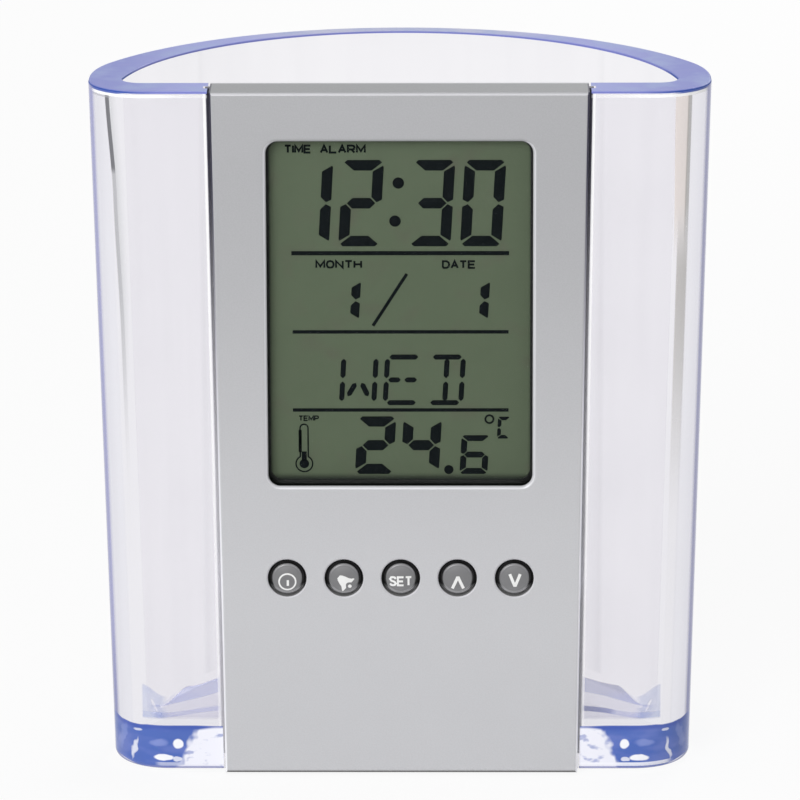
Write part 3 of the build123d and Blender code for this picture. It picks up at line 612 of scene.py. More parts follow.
def silver_paint(clock, cup):
    """Metallic paint: fine bright and dark flakes under a satin coat.

    Painted shade and light: the panel's sides are dark near the rim and light low down, and its
    holes are dark inside.
    """
    finish = Finish("silver_paint", {"Coat Roughness": 0.25})
    base = tuple(clock.paint)
    flake = finish.noise(0.22 * MM, 1.0)
    cloud = finish.noise(9 * MM, 3.0)
    tone = flake.ramp(0.25, 0.75) * 0.8 + cloud * 0.2
    turned = finish.turned()
    across, along, up = (part.math("ABSOLUTE") for part in turned)
    aside, height = finish.place(0).math("ABSOLUTE"), finish.place(2)
    level = height.ramp(20 * MM, 100 * MM)
    # Painted shade: the face darker towards the rim
    lower = finish.blend(level, shaded(base, 0.08), shaded(base, -0.50))
    grain = finish.blend(tone, shaded(base, -0.09), shaded(base, 0.09))
    top_shade, rim_light, hole_dark = (0.27, 0.275, 0.285), (0.66, 0.66, 0.69), (0.008, 0.009, 0.008)
    foot_dark, side_light, side_dark = (0.10, 0.10, 0.10), (0.93, 0.93, 0.95), (0.05, 0.048, 0.075)
    # Painted shade on the top face
    face = finish.blend(up.ramp(0.8, 0.97), finish.blend(0.5, lower, grain), top_shade)
    # Painted highlights on the up-facing rounded edges and on the rims round the window and the
    # holes, and painted shade on their walls, lighter low down in the holes
    holes = height.band(*HOLES, 0.1 * MM)
    window = height.band(*WINDOW, 0.1 * MM) * aside.ramp(22 * MM, 21 * MM)
    edge = turned[2].ramp(0.12, 0.4) * up.ramp(0.99, 0.93) * height.ramp(3 * MM, 8 * MM)
    rims = across.ramp(0.15, 0.4) * along.ramp(0.25, 0.5) * window
    rims = rims + along.band(0.55, 0.88, 0.06) * holes
    face = finish.blend((edge * 0.8).math("MAXIMUM", rims) * 0.75, face, rim_light)
    dark = along.ramp(0.5, 0.2) * holes + along.ramp(0.35, 0.15) * window
    lit = height.ramp(*HOLE_LIT, 0.008, 0.3) * holes
    face = finish.blend(dark, face, finish.blend(lit, hole_dark, WHITE))
    # Painted shade along the panel's foot
    face = finish.blend(height.ramp(0.9 * MM, 0.5 * MM), face, foot_dark)
    # The panel's sides, which the slot faces: painted shade high up and painted light low down
    past_slot = aside - (slot_half(cup, height) - cup.slot_gap)
    sides = across.ramp(0.3, 0.75) * aside.ramp(24 * MM, 25 * MM)
    sides = sides + past_slot.ramp(-0.3 * MM, -0.18 * MM) * (level * 0.8 + 0.1)
    sides = sides.math("MINIMUM", 1.0)
    side_tone = finish.blend(level * level, side_light, side_dark)
    finish.paint(
        base_color=finish.blend(sides, face, side_tone),
        metallic=(flake.ramp(0.3, 0.7, 0.1, 0.3) + sides * level + dark).math("MINIMUM", 1.0),
        roughness=flake * 0.14 + cloud * 0.06 + dark * 0.4 + 0.36,
        coat_weight=(1 - dark) * 0.1,
    )
    finish.bump(flake * 0.4 + finish.noise(1.4 * MM, 1.0) * 0.6, 0.006 * MM)
    return finish.material


def see_through(name, tint, rough):
    """A thin clear sheet: tinted light goes straight through it, and its faces shine."""
    finish = Finish(name, {"Metallic": 0.0, "IOR": 1.49})
    smear = finish.noise(14 * MM, 4.0)
    colours = finish.blend(smear, (0.02, 0.02, 0.02), (0.03, 0.03, 0.03))
    finish.paint(base_color=colours, roughness=smear.ramp(0.3, 0.8, rough, rough + 0.06))
    clear = finish.add("ShaderNodeBsdfTransparent", None, {"Color": tint})
    sheen = finish.field("ShaderNodeFresnel", None, {"IOR": 1.45}) * 0.2
    finish.show(sheen, clear, finish.shader)
    return finish.material


def display_ground(clock):
    """The display's grey-green ground, with its grain and the shade along the window's edges."""
    finish = Finish("display_ground", {"IOR": 1.4})
    grain = finish.noise(0.22 * MM, 2.0)
    cloud = finish.noise(5 * MM, 2.0)
    base = tuple(clock.ground)
    plain = finish.blend(grain * 0.5 + cloud * 0.5, shaded(base, -0.10), shaded(base, 0.12))
    low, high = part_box("display_window")
    margin, warm_grey, shade_dark = 1.7 * MM, (0.094, 0.090, 0.068), (0.012, 0.016, 0.012)
    warm = finish.blend(cloud.ramp(0.5, 0.8, 0.0, 0.6), plain, warm_grey)
    foot, head, edge = low.z + margin, high.z - margin, high.x - margin
    aside, level = finish.place(0).math("ABSOLUTE"), finish.place(2)
    shade = level.ramp(foot + 1.5 * MM, foot + 0.35 * MM)
    shade = shade + level.ramp(head - 0.5 * MM, head, 0.0, 0.35)
    shade = shade + aside.ramp(edge - 0.8 * MM, edge - 0.2 * MM, 0.0, 0.4)
    colours = finish.blend(shade.math("MINIMUM", 1.0), warm, shade_dark)
    finish.paint(base_color=colours, roughness=grain.ramp(0.2, 0.8, 0.45, 0.6))
    finish.bump(grain, 0.003 * MM)
    return finish.material


def in_scene(name, data):
    """A new object in the scene: a mesh, a lamp or a camera."""
    thing = bpy.data.objects.new(name, data)
    bpy.context.scene.collection.objects.link(thing)
    return thing


def new_piece(name, mesh, body, materials):
    """Puts a mesh in the scene as a piece that moves with a CAD body."""
    piece = in_scene(name, mesh)
    for material in materials:
        mesh.materials.append(material)
    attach(piece, body)
    return piece


def mesh_from(name, shape, crease=35):
    """Turns a bmesh into a mesh that is smooth except along its creases."""
    bmesh.ops.recalc_face_normals(shape, faces=shape.faces)
    mesh = bpy.data.meshes.new(name)
    shape.to_mesh(mesh)
    shape.free()
    mesh.shade_smooth()
    mesh.set_sharp_from_angle(angle=math.radians(crease))
    return mesh


def repaint(material, *nodes):
    """Gives CAD nodes a material in place of their own."""
    for node in nodes:
        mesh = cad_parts[node].data
        mesh.materials.clear()
        mesh.materials.append(material)


def arc(centre, radius, start, end, count):
    """Points along an arc, both ends included, by angles in radians."""
    step = (end - start) / (count - 1)
    turns = [start + step * i for i in range(count)]
    return [
        Vector((centre[0] + radius * math.cos(turn), centre[1] + radius * math.sin(turn)))
        for turn in turns
    ]


def circle(centre, radius, count=36):
    """Points round a whole circle."""
    return arc(centre, radius, 0, 2 * math.pi * (1 - 1 / count), count)


def mirrored(points):
    """The same points on the other side of the middle, in the opposite order."""
    return [Vector((-point.x, point.y)) for point in reversed(points)]


def half_width(cup, level):
    """Half the cup's width at a level, which is a number or a shader field."""
    return level * ((cup.rim_width - cup.base_width) / 2 / CUP_HIGH.z) + cup.base_width / 2


def slot_half(cup, level):
    """Half the slot's width at a level, which is a number or a shader field."""
    return level * (cup.slot_flare / 2 / CUP_HIGH.z) + cup.slot_base / 2


def cup_back(cup, level):
    """How far back the cup reaches at a level."""
    return CUP_HIGH.y - cup.back_draft * (1 - level / CUP_HIGH.z)


# Points along the cup's round back
BACK_POINTS = 90


def outer_ring(cup, level, inset=0.0):
    """The cup's outline at a level, drawn in by inset."""
    half = half_width(cup, level)
    rise = cup_back(cup, level) - CUP_LOW.y - cup.side_depth
    radius = (half**2 + rise**2) / (2 * rise)
    middle = cup_back(cup, level) - radius
    corner = cup.back_corner
    corner_y = middle + math.sqrt((radius - corner) ** 2 - (half - corner) ** 2)
    turn = math.atan2(corner_y - middle, half - corner)
    front = cup.front_corner
    right = arc((half - front, CUP_LOW.y + front), front - inset, -math.pi / 2, 0, 20)
    right += arc((half - corner, corner_y), corner - inset, 0, turn, 14)
    back = arc((0, middle), radius - inset, turn, math.pi - turn, BACK_POINTS)[1:-1]
    return [Vector((*point, level)) for point in right + back + mirrored(right)]


def inner_ring(cup, level, inset=0.0, at=None):
    """The outline of the cup's hollow at a level, drawn in by inset."""
    half = half_width(cup, level) - cup.flank_wall
    front = CUP_LOW.y + cup.front_wall
    rise = cup_back(cup, level) - cup.back_wall - front
    radius = (half**2 + rise**2) / (2 * rise)
    middle = cup_back(cup, level) - cup.back_wall - radius
    corner = cup.inner_corner
    corner_y = front + corner
    corner_x = math.sqrt((radius - corner) ** 2 - (corner_y - middle) ** 2)
    turn = math.atan2(corner_y - middle, corner_x)
    right = arc((corner_x, corner_y), corner - inset, -math.pi / 2, turn, 16)
    back = arc((0, middle), radius - inset, turn, math.pi - turn, BACK_POINTS)[1:-1]
    height = level if at is None else at
    return [Vector((*point, height)) for point in right + back + mirrored(right)]


def loft(rings):
    """A closed shape through rings of equally many points, flat at both ends."""
    shape = bmesh.new()
    rows = [[shape.verts.new(point) for point in ring] for ring in rings]
    for low, high in zip(rows, rows[1:]):
        for i, corner in enumerate(low):
            shape.faces.new((low[i - 1], corner, high[i], high[i - 1]))
    shape.faces.new(rows[0])
    shape.faces.new(rows[-1])
    return shape


def rounding(radius, steps=6):
    """How far in and how far along a quarter round goes, step by step."""
    turns = [math.pi / 2 * i / steps for i in range(steps + 1)]
    return [(radius * (1 - math.cos(turn)), radius * math.sin(turn)) for turn in turns]


def wall_rings(ring, cup, low, foot_round, steps, rim_way):
    """Rings up a wall, round at its foot and rim: rim_way is -1 where the rim opens out."""
    levels = 8
    start, end = low + foot_round, CUP_HIGH.z - cup.rim_round
    foot = reversed(rounding(foot_round, steps))
    rings = [ring(cup, start - along, inset) for inset, along in foot]
    rings += [ring(cup, start + (end - start) * i / levels) for i in range(1, levels)]
    rings += [ring(cup, end + along, inset * rim_way) for inset, along in rounding(cup.rim_round)]
    return rings


def cup_block(cup):
    """The cup before it is hollowed: rounded at the base and along the rim."""
    return loft(wall_rings(outer_ring, cup, CUP_LOW.z, cup.base_round, 10, 1))


def cup_hollow(cup):
    """The space for pens, rounded at the floor and opening out along the rim."""
    rings = wall_rings(inner_ring, cup, CUP_LOW.z + cup.floor, cup.floor_round, 8, -1)
    high, rim = CUP_HIGH.z, cup.rim_round
    return loft([*rings, inner_ring(cup, high, -rim, high + rim)])


def wedge(half_low, half_high, low, high, front, back):
    """A tapered block for cutting, from front to back and from low to high."""
    corners = [(-half_low, low), (half_low, low), (half_high, high), (-half_high, high)]
    return loft([[Vector((x, y, z)) for x, z in corners] for y in (front, back)])


def carve(block, cutters):
    """Cuts the cutters out of a mesh with exact booleans, and clears them away."""
    piece = in_scene("carved", block)
    tools = [in_scene("cutter", mesh_from("cutter", cutter)) for cutter in cutters]
    for tool in tools:
        cut = piece.modifiers.new("cut", "BOOLEAN")
        cut.object = tool
        cut.operation = "DIFFERENCE"
        cut.solver = "EXACT"
    depsgraph = bpy.context.evaluated_depsgraph_get()
    carved = bpy.data.meshes.new_from_object(piece.evaluated_get(depsgraph))
    for used in [piece, *tools]:
        spent = used.data
        bpy.data.objects.remove(used)
        bpy.data.meshes.remove(spent)
    return carved


def disc(x, y, low, high, radius):
    """A short upright cylinder for cutting."""
    ring = circle((x, y), radius, 48)
    return loft([[Vector((*point, level)) for point in ring] for level in (low, high)])


def foot_middles():
    """The middle of each foot, read from the CAD node's own vertices."""
    low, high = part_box("feet")
    spots = {}
    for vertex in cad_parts["feet"].data.vertices:
        side = (vertex.co.x > 0, vertex.co.y > (low.y + high.y) / 2)
        spots.setdefault(side, []).append(vertex.co)
    return [
        ((min(p.x for p in group) + max(p.x for p in group)) / 2,
         (min(p.y for p in group) + max(p.y for p in group)) / 2)
        for group in spots.values()
    ]


def build_cup(cup):
    """The clear cup, carved as the CAD solid is, with its rim as a finish of its own."""
    low, high = CUP_LOW.z, CUP_HIGH.z
    over = 2 * MM
    top, seat = high + over, low + cup.ledge
    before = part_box("front_shell")[0].y - over
    behind = CUP_LOW.y + cup.front_wall + cup.slot_gap
    groove_front, groove_back, ledge_front = groove_span()
    at_seat, at_top = slot_half(cup, seat), slot_half(cup, top)
    below, above_seat = slot_half(cup, -over), slot_half(cup, seat + over)
    deeper = cup.groove
    cutters = [
        cup_hollow(cup),
        wedge(at_seat, at_top, seat, top, before, behind),
        wedge(below, above_seat, -over, seat, before, ledge_front),
        wedge(at_seat + deeper, at_top + deeper, seat, top, groove_front, groove_back),
    ]
    recess_top = low + cup.foot_recess
    cutters += [disc(x, y, low - over, recess_top, cup.foot_radius) for x, y in foot_middles()]
    block = cup_block(cup)
    outside = BVHTree.FromBMesh(block)
    mesh = carve(mesh_from("cup_shell", block), cutters)
    mesh.name = "cup_shell"
    mesh.shade_smooth()
    mesh.set_sharp_from_angle(angle=math.radians(32))
    materials = [outside_plastic(cup), edge_plastic(cup), inside_plastic(cup)]
    piece = new_piece("cup_shell", mesh, "cup", materials)
    on_rim, on_inside = 1, 2
    rim_start, least_up = high - cup.rim_round * 0.97, 0.12
    for face in mesh.polygons:
        if face.center.z > rim_start and face.normal.z > least_up:
            face.material_index = on_rim
        elif outside.find_nearest(face.center)[3] > 0.1 * MM:
            face.material_index = on_inside
    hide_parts("cup_body")
    weigh_normals(piece)


def groove_span():
    """Where the slot's grooves start and end, and where the ledge's front is."""
    tongue_front, tongue_thickness, play = 3.4 * MM, 1.2 * MM, 0.15 * MM
    ledge_depth = 1.9 * MM
    groove_front, groove_back = tongue_front - play, tongue_front + tongue_thickness + play
    return [PANEL_FRONT + depth for depth in (groove_front, groove_back, ledge_depth)]


def weigh_normals(piece):
    """Keeps flat faces flat where rounds run into them."""
    weigh = piece.modifiers.new("flat_faces", "WEIGHTED_NORMAL")
    weigh.keep_sharp = True
    weigh.weight = 100


class PENCLOCK_OT_cup(Operator):
    """Builds the clear cup and finishes its feet"""

    bl_idname = "penclock.cup"
    bl_label = "Cup and Feet"

    def execute(self, context):
        build_cup(context.scene.penclock_cup)
        repaint(foot_gel(), "feet")
        return {"FINISHED"}


class PENCLOCK_OT_panel(Operator):
    """Paints the front shell and clears the display window"""

    bl_idname = "penclock.panel"
    bl_label = "Panel and Window"

    def execute(self, context):
        clock = context.scene.penclock_clock
        repaint(silver_paint(clock, context.scene.penclock_cup), "front_shell")
        repaint(see_through("window_plastic", (0.97, 0.985, 0.97), 0.02), "display_window")
        return {"FINISHED"}


# Figures on the display, in millimetres across and up the panel from the CAD origin. A size is a
# figure's width, height and stroke, and each figure is its sign and its left side.
TIME_SIZE = (6.3, 13.5, 1.65)
TIME_BASE = 84.1
TIME_FIGURES = (("1", -17.1), ("2", -9.4), ("3", 1.42), ("0", 9.15))
COLON = ((-0.2, 94.0), (-0.72, 88.05))
COLON_RADIUS = 0.88
DATE_SIZE = (4.3, 7.1, 1.4)
DATE_BASE = 72.05
DATE_FIGURES = (("1", -10.6), ("1", 9.1))
DAY_SIZE = (5.75, 8.05, 0.8)
DAY_BASE = 58.98
DAY_LETTERS = (("W", -9.45), ("E", -2.75), ("D", 3.9))
WARMTH_SIZE = (5.9, 9.2, 1.63)
WARMTH_BASE = 48.0
WARMTH_FIGURES = (("2", -7.04), ("4", -0.02))
TENTH_SIZE = (4.3, 6.2, 0.95)
TENTH_FIGURES = (("6", 9.05),)
UNIT_SIZE = (1.85, 3.5, 0.58)
UNIT_BASE = 53.65
UNIT_FIGURES = (("C", 14.8),)
# Two ends and a stroke; a middle and a radius; a middle, a radius and a stroke
SLASH = ((-4.15, 71.58), (1.05, 79.76), 0.5)
POINT = ((7.43, 48.7), 0.72)
DEGREE = ((13.67, 56.75), 0.62, 0.3)
# Rules: left, right, level and stroke. Words: text, left, right, foot, head and stroke
RULES = (
    (-16.55, 16.65, 83.02, 0.66), (-16.45, 16.58, 70.62, 0.54), (-16.5, 16.6, 58.22, 0.54),
)
LABELS = (
    ("TIME", -17.55, -13.35, 98.6, 100.0, 0.32),
    ("ALARM", -12.1, -5.1, 98.6, 100.0, 0.32),
    ("MONTH", -12.9, -5.75, 80.58, 81.95, 0.31),
    ("DATE", 6.4, 11.6, 80.55, 81.9, 0.31),
    ("TEMP", -15.65, -12.5, 56.45, 57.35, 0.2),
)
# The thermometer's tube: left, right, foot, head and line. Its bulb: middle, radius of what is
# filled, radius of the ring round it, and line
TUBE = (-15.42, -14.2, 50.8, 55.95, 0.3)
BULB = ((-14.8, 49.65), 0.74, 1.28, 0.22)
# The bars that each figure or weekday letter lights
LIT = {
    "0": "abcdef", "1": "bc", "2": "abged", "3": "abgcd", "4": "fgbc", "6": "afgcde", "C": "afed",
}
LIT_LETTERS = {"W": "efbcmn", "E": "afgjed", "D": "abcdil"}
# Plain capitals as lines through points, in shares of a letter's width and height
BOWL = ((0, 0), (0, 1), (0.7, 1), (0.95, 0.9), (1, 0.72), (0.95, 0.54), (0.7, 0.44), (0, 0.44))
ROUND = (
    (0.5, 0), (0.85, 0.1), (1, 0.4), (1, 0.6), (0.85, 0.9), (0.5, 1),
    (0.15, 0.9), (0, 0.6), (0, 0.4), (0.15, 0.1), (0.5, 0),
)
SNAKE = (
    (1, 0.8), (0.8, 0.97), (0.5, 1), (0.2, 0.97), (0, 0.76), (0.2, 0.57),
    (0.8, 0.43), (1, 0.24), (0.8, 0.03), (0.5, 0), (0.2, 0.03), (0, 0.2),
)
CAPITALS = {
    "A": (((0, 0), (0.5, 1), (1, 0)), ((0.2, 0.34), (0.8, 0.34))),
    "D": (((0, 0), (0, 1), (0.6, 1), (0.9, 0.82), (1, 0.5), (0.9, 0.18), (0.6, 0), (0, 0)),),
    "E": (((1, 1), (0, 1), (0, 0), (1, 0)), ((0, 0.5), (0.9, 0.5))),
    "H": (((0, 0), (0, 1)), ((1, 0), (1, 1)), ((0, 0.5), (1, 0.5))),
    "I": (((0, 0), (0, 1)),),
    "L": (((0, 1), (0, 0), (1, 0)),),
    "M": (((0, 0), (0, 1), (0.5, 0.2), (1, 1), (1, 0)),),
    "N": (((0, 0), (0, 1), (1, 0), (1, 1)),),
    "O": (ROUND,),
    "P": (BOWL,),
    "R": (BOWL, ((0.55, 0.44), (1, 0))),
    "S": (SNAKE,),
    "T": (((0, 1), (1, 1)), ((0.5, 0), (0.5, 1))),
}
# How wide a capital is, and the room after it
CAPITAL_SPANS = {"I": 0.0, "M": 0.96}
CAPITAL_SPAN, CAPITAL_GAP = 0.8, 0.3


def bars(width, height, stroke):
    """The seven bars of a figure, their outer tips cut blunt: each bar's corners across and up."""
    gap, cut = 0.09 * stroke, 0.17 * stroke
    half, thin = height / 2, stroke / 2
    inner = width - stroke - gap

    def with_left(points):
        """The points of a bar's right half and their mirror images."""
        return points + [(width - x, z) for x, z in reversed(points)]

    top = with_left([
        (width - gap - cut * 2, height),
        (width - gap - cut * 0.5, height - cut * 1.4),
        (inner, height - stroke),
    ])
    upper = [
        (width - cut * 0.5, height - gap - cut * 2.6),
        (width, height - gap - cut * 3.5),
        (width, half + stroke * 0.25 + gap),
        (width - thin, half + gap),
        (width - stroke, half + thin + gap),
        (width - stroke, height - stroke - gap),
    ]
    return {
        "a": top,
        "b": upper,
        "c": [(x, height - z) for x, z in upper],
        "d": [(x, height - z) for x, z in top],
        "e": [(width - x, height - z) for x, z in upper],
        "f": [(width - x, z) for x, z in upper],
        "g": with_left([(inner, half + thin), (width - thin - gap, half), (inner, half - thin)]),
    }


def thin_bar(start, end, stroke, gap):
    """A bar with pointed ends between two points."""
    start, end = Vector(start), Vector(end)
    along = (end - start).normalized()
    side = Vector((-along.y, along.x)) * stroke / 2
    start, end = start + along * gap, end - along * gap
    taper = along * stroke / 2
    return [
        start, start + taper + side, end - taper + side,
        end, end - taper - side, start + taper - side,
    ]


def letter_bars(width, height, stroke):
    """The thin bars of a weekday letter."""
    low, left, right, high = stroke / 2, stroke / 2, width - stroke / 2, height - stroke / 2
    half, centre = height / 2, width / 2
    spans = {
        "a": ((left, high), (right, high)),
        "b": ((right, half), (right, high)),
        "c": ((right, low), (right, half)),
        "d": ((left, low), (right, low)),
        "e": ((left, low), (left, half)),
        "f": ((left, half), (left, high)),
        "g": ((left, half), (centre, half)),
        "i": ((centre, half), (centre, high)),
        "j": ((centre, half), (right, half)),
        "l": ((centre, low), (centre, half)),
        "m": ((left + stroke, low + stroke), (centre - stroke * 0.4, half - stroke * 0.3)),
        "n": ((right - stroke, low + stroke), (centre + stroke * 0.4, half - stroke * 0.3)),
    }
    return {name: thin_bar(*span, stroke, stroke * 0.3) for name, span in spans.items()}


def figures(signs, size, base, lean, lit=LIT, make=bars):
    """Outlines of all the lit bars of a row of figures."""
    shapes = make(*size)
    return [
        [(left + x + lean * z, base + z) for x, z in shapes[name]]
        for sign, left in signs
        for name in lit[sign]
    ]


def add_stroke(shape, points, width, closed, near, far):
    """Adds a drawn line as one shell, mitred at its corners, between two values of y."""
    points = [Vector(point) for point in points]
    count = len(points)
    sections = []
    for i, point in enumerate(points):
        ways = []
        if closed or i > 0:
            ways.append((point - points[i - 1]).normalized())
        if closed or i < count - 1:
            ways.append((points[(i + 1) % count] - point).normalized())
        along = sum(ways, Vector((0, 0))).normalized()
        side = Vector((-along.y, along.x))
        side *= width / 2 / max(0.45, along.dot(ways[0]))
        corners = [(spot, y) for y in (near, far) for spot in (point - side, point + side)]
        sections.append([shape.verts.new((spot.x * MM, y, spot.y * MM)) for spot, y in corners])
    order = (0, 1, 3, 2)
    for i in range(0 if closed else 1, count):
        last, this = sections[i - 1], sections[i]
        for a, b in zip(order, order[1:] + order[:1]):
            shape.faces.new((last[a], last[b], this[b], this[a]))
    if not closed:
        for section in (sections[0], sections[-1]):
            shape.faces.new([section[i] for i in order])


def draw(outlines, strokes, near, far):
    """A bmesh of filled outlines and of strokes, in millimetres, between two values of y in metres.

    A stroke is its points, its width and whether it is closed.
    """
    shape = bmesh.new()
    for outline in outlines:
        rows = [
            [shape.verts.new((x * MM, y, z * MM)) for x, z in outline] for y in (near, far)
        ]
        for i in range(len(outline)):
            shape.faces.new((rows[0][i - 1], rows[0][i], rows[1][i], rows[1][i - 1]))
        for row in rows:
            shape.faces.new(row)
    for points, width, closed in strokes:
        add_stroke(shape, points, width, closed, near, far)
    return shape


def word_strokes(text, left, right, low, high, width):
    """Strokes of a word in plain capitals that fills a box."""
    spans = [CAPITAL_SPANS.get(sign, CAPITAL_SPAN) for sign in text]
    whole = sum(spans) + CAPITAL_GAP * (len(text) - 1)
    left, right, low, high = left + width / 2, right - width / 2, low + width / 2, high - width / 2
    scale, tall = (right - left) / whole, high - low
    strokes = []
    for sign, span in zip(text, spans):
        for line in CAPITALS[sign]:
            points = [(left + x * span * scale, low + z * tall) for x, z in line]
            strokes.append((points, width, False))
        left += (span + CAPITAL_GAP) * scale
    return strokes


def joined(meshes):
    """One bmesh from several meshes."""
    shape = bmesh.new()
    for mesh in meshes:
        shape.from_mesh(mesh)
        bpy.data.meshes.remove(mesh)
    return shape


class PENCLOCK_OT_display(Operator):
    """Finishes the display's layers and draws its figures"""

    bl_idname = "penclock.display"
    bl_label = "Display"

    def execute(self, context):
        clock = context.scene.penclock_clock
        repaint(display_ground(clock), "front_polariser")
        glass = plain_finish("display_glass", (0.30, 0.34, 0.30), 0.1)
        repaint(glass, "front_glass", "rear_glass")
        repaint(plain_finish("reflector_film", (0.35, 0.38, 0.33), 0.35), "rear_reflector")
        repaint(plain_finish("frame_plastic", (0.008, 0.008, 0.009), 0.5), "display_frame")
        ink = plain_finish("display_marks", tuple(clock.mark), 0.5, 0.3 * MM, 0.15, shine=0.0)
        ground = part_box("front_polariser")[0].y
        near, far = ground - 0.03 * MM, ground - 0.005 * MM
        for name, (outlines, strokes) in display_marks(clock.figure_lean).items():
            mesh = mesh_from(name, draw(outlines, strokes, near, far))
            new_piece(name, mesh, "module", [ink])
        return {"FINISHED"}


def display_marks(lean):
    """The filled outlines and the strokes of each group of marks on the display."""
    time = figures(TIME_FIGURES, TIME_SIZE, TIME_BASE, lean)
    time += [circle(spot, COLON_RADIUS, 40) for spot in COLON]
    warmth = figures(WARMTH_FIGURES, WARMTH_SIZE, WARMTH_BASE, lean) + [circle(*POINT, 40)]
    warmth += figures(TENTH_FIGURES, TENTH_SIZE, WARMTH_BASE, lean)
    warmth += figures(UNIT_FIGURES, UNIT_SIZE, UNIT_BASE, lean)
    date = figures(DATE_FIGURES, DATE_SIZE, DATE_BASE, lean)
    weekday = figures(DAY_LETTERS, DAY_SIZE, DAY_BASE, lean, LIT_LETTERS, letter_bars)
    rules = [(((left, level), (right, level)), line, False) for left, right, level, line in RULES]
    return {
        "time_figures": (time, []),
        "date_figures": (date, [(SLASH[:2], SLASH[2], False)]),
        "weekday_letters": (weekday, []),
        "temperature_figures": (warmth, [(circle(*DEGREE[:2]), DEGREE[2], True)]),
        "display_rules": ([], rules),
        "thermometer_sign": thermometer_marks(),
        "display_labels": ([], [stroke for label in LABELS for stroke in word_strokes(*label)]),
    }


def thermometer_marks():
    """The small thermometer: an open tube that runs into a ring, and the filled bulb inside."""
    left, right, low, high, line = TUBE
    middle = (left + right) / 2
    reach = (right - left) / 2
    spot, filled, around, rim = BULB
    opening = math.asin(reach / around)
    ring = arc(spot, around, math.pi / 2 + opening, math.pi * 2.5 - opening, 30)
    cap = arc((middle, high - reach), reach, 0, math.pi, 16)
    column = [(middle, low - 0.7), (middle, low + 0.8)]
    scale_side = [(left, low + 0.7), (left, high - 0.9)]
    strokes = [
        (ring + cap, rim, True),
        (column, line * 2.6, False),
        (scale_side, line * 1.6, False),
    ]
    return [circle(spot, filled, 40)], strokes


def revolve(profile, place, count=64):
    """A closed shape turned about an axis along Y: profile is (radius, y) from tip to tip."""
    shape = bmesh.new()
    tips = [shape.verts.new((place[0], profile[i][1], place[1])) for i in (0, -1)]
    rows = []
    for radius, y in profile[1:-1]:
        ring = circle(place, radius, count)
        rows.append([shape.verts.new((point.x, y, point.y)) for point in ring])
    for near, far in zip(rows, rows[1:]):
        for i in range(count):
            shape.faces.new((near[i - 1], near[i], far[i], far[i - 1]))
    for tip, row in zip(tips, (rows[0], rows[-1])):
        for i in range(count):
            shape.faces.new((tip, row[i - 1], row[i]))
    return shape


def cap_depth(button, radius):
    """How far behind the panel's front a cap's domed face is, at a distance from its middle."""
    edge = button.dome - button.shoulder
    rise = button.crown + button.recess
    sphere = (edge**2 + rise**2) / (2 * rise)
    if radius <= edge:
        return sphere - math.sqrt(sphere**2 - radius**2) - button.crown
    fall = min(1.0, (radius - edge) / button.shoulder)
    return button.recess + button.shoulder * (1 - math.sqrt(1 - fall**2))


def build_button(button, node, body, cap):
    """One push button: a crowned cap with a soft edge, on the flange that holds it in."""
    low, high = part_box(node)
    place = ((low.x + high.x) / 2, (low.z + high.z) / 2)
    edge = button.dome - button.shoulder
    steps, turns = 12, 10
    rings = [edge * i / steps for i in range(steps + 1)]
    quarter = [math.pi / 2 * i / turns for i in range(1, turns + 1)]
    rings += [edge + button.shoulder * math.sin(turn) for turn in quarter]
    profile = [(radius, PANEL_FRONT + cap_depth(button, radius)) for radius in rings]
    collar, bevel = PANEL_FRONT + button.sink, button.bevel
    flange_front = high.y - button.flange
    apart = 0.02 * MM
    cap_back = flange_front - apart
    profile += [(button.dome, collar), (button.radius - bevel, collar)]
    profile += [(button.radius, collar + bevel), (button.radius, cap_back), (0.0, cap_back)]
    corner = button.flange_corner
    wide, tall = (high.x - low.x) / 2, (high.z - low.z) / 2
    ring = []
    for across, up, turn in ((1, -1, -0.5), (1, 1, 0), (-1, 1, 0.5), (-1, -1, 1)):
        centre = (place[0] + across * (wide - corner), place[1] + up * (tall - corner))
        ring += arc(centre, corner, math.pi * turn, math.pi * (turn + 0.5), 8)
    flange = loft([[Vector((p.x, y, p.y)) for p in ring] for y in (flange_front, high.y)])
    parts = [mesh_from("cap", revolve(profile, place)), mesh_from("flange", flange)]
    mesh = mesh_from(node + "_cap", joined(parts))
    piece = new_piece(node + "_cap", mesh, body, [cap])
    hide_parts(node)
    weigh_normals(piece)
    return place


def sign_marks(node):
    """The filled outlines and the strokes of a button's sign, in millimetres round its middle."""
    if node == "mode_button":
        hand = [(0.1, -0.25), (0.1, -1.2)]
        return [], [(circle((0.03, -0.55), 1.28), 0.25, True), (hand, 0.36, False)]
    if node == "alarm_button":
        return bell_outlines(), []
    if node == "set_button":
        return [], word_strokes("SET", -1.8, 1.8, -1.27, 0.37, 0.32)
    if node == "up_button":
        return [], [([(-0.8, -1.65), (-0.02, 0.12), (0.14, 0.12), (0.92, -1.65)], 0.46, False)]
    return [], [([(-0.7, 0.7), (0.02, -1.12), (0.18, -1.12), (0.9, 0.7)], 0.46, False)]


def bell_outlines():
    """A tilted bell with a notch at its mouth, and its clapper."""
    half = [
        (0.32, 1.15), (0.56, 0.85), (0.78, 0.3), (0.95, -0.3),
        (1.14, -0.62), (1.42, -0.86), (1.42, -1.04), (0.66, -1.04),
    ]
    notch = [(0.5, -0.8), (0.28, -0.62), (0.0, -0.55), (-0.28, -0.62), (-0.5, -0.8)]
    bell = half + notch + [(-x, z) for x, z in reversed(half)]
    turn = Matrix.Rotation(math.radians(48), 2)
    spot, scale = Vector((0.0, -0.45)), 0.95
    clapper = circle(spot + turn @ Vector((0.0, -1.22)), 0.29, 20)
    return [[tuple(spot + turn @ Vector(point) * scale) for point in bell], clapper]


def moved(points, place):
    """Points in millimetres round a place in metres, in millimetres from the origin."""
    return [(x + place[0] / MM, z + place[1] / MM) for x, z in points]


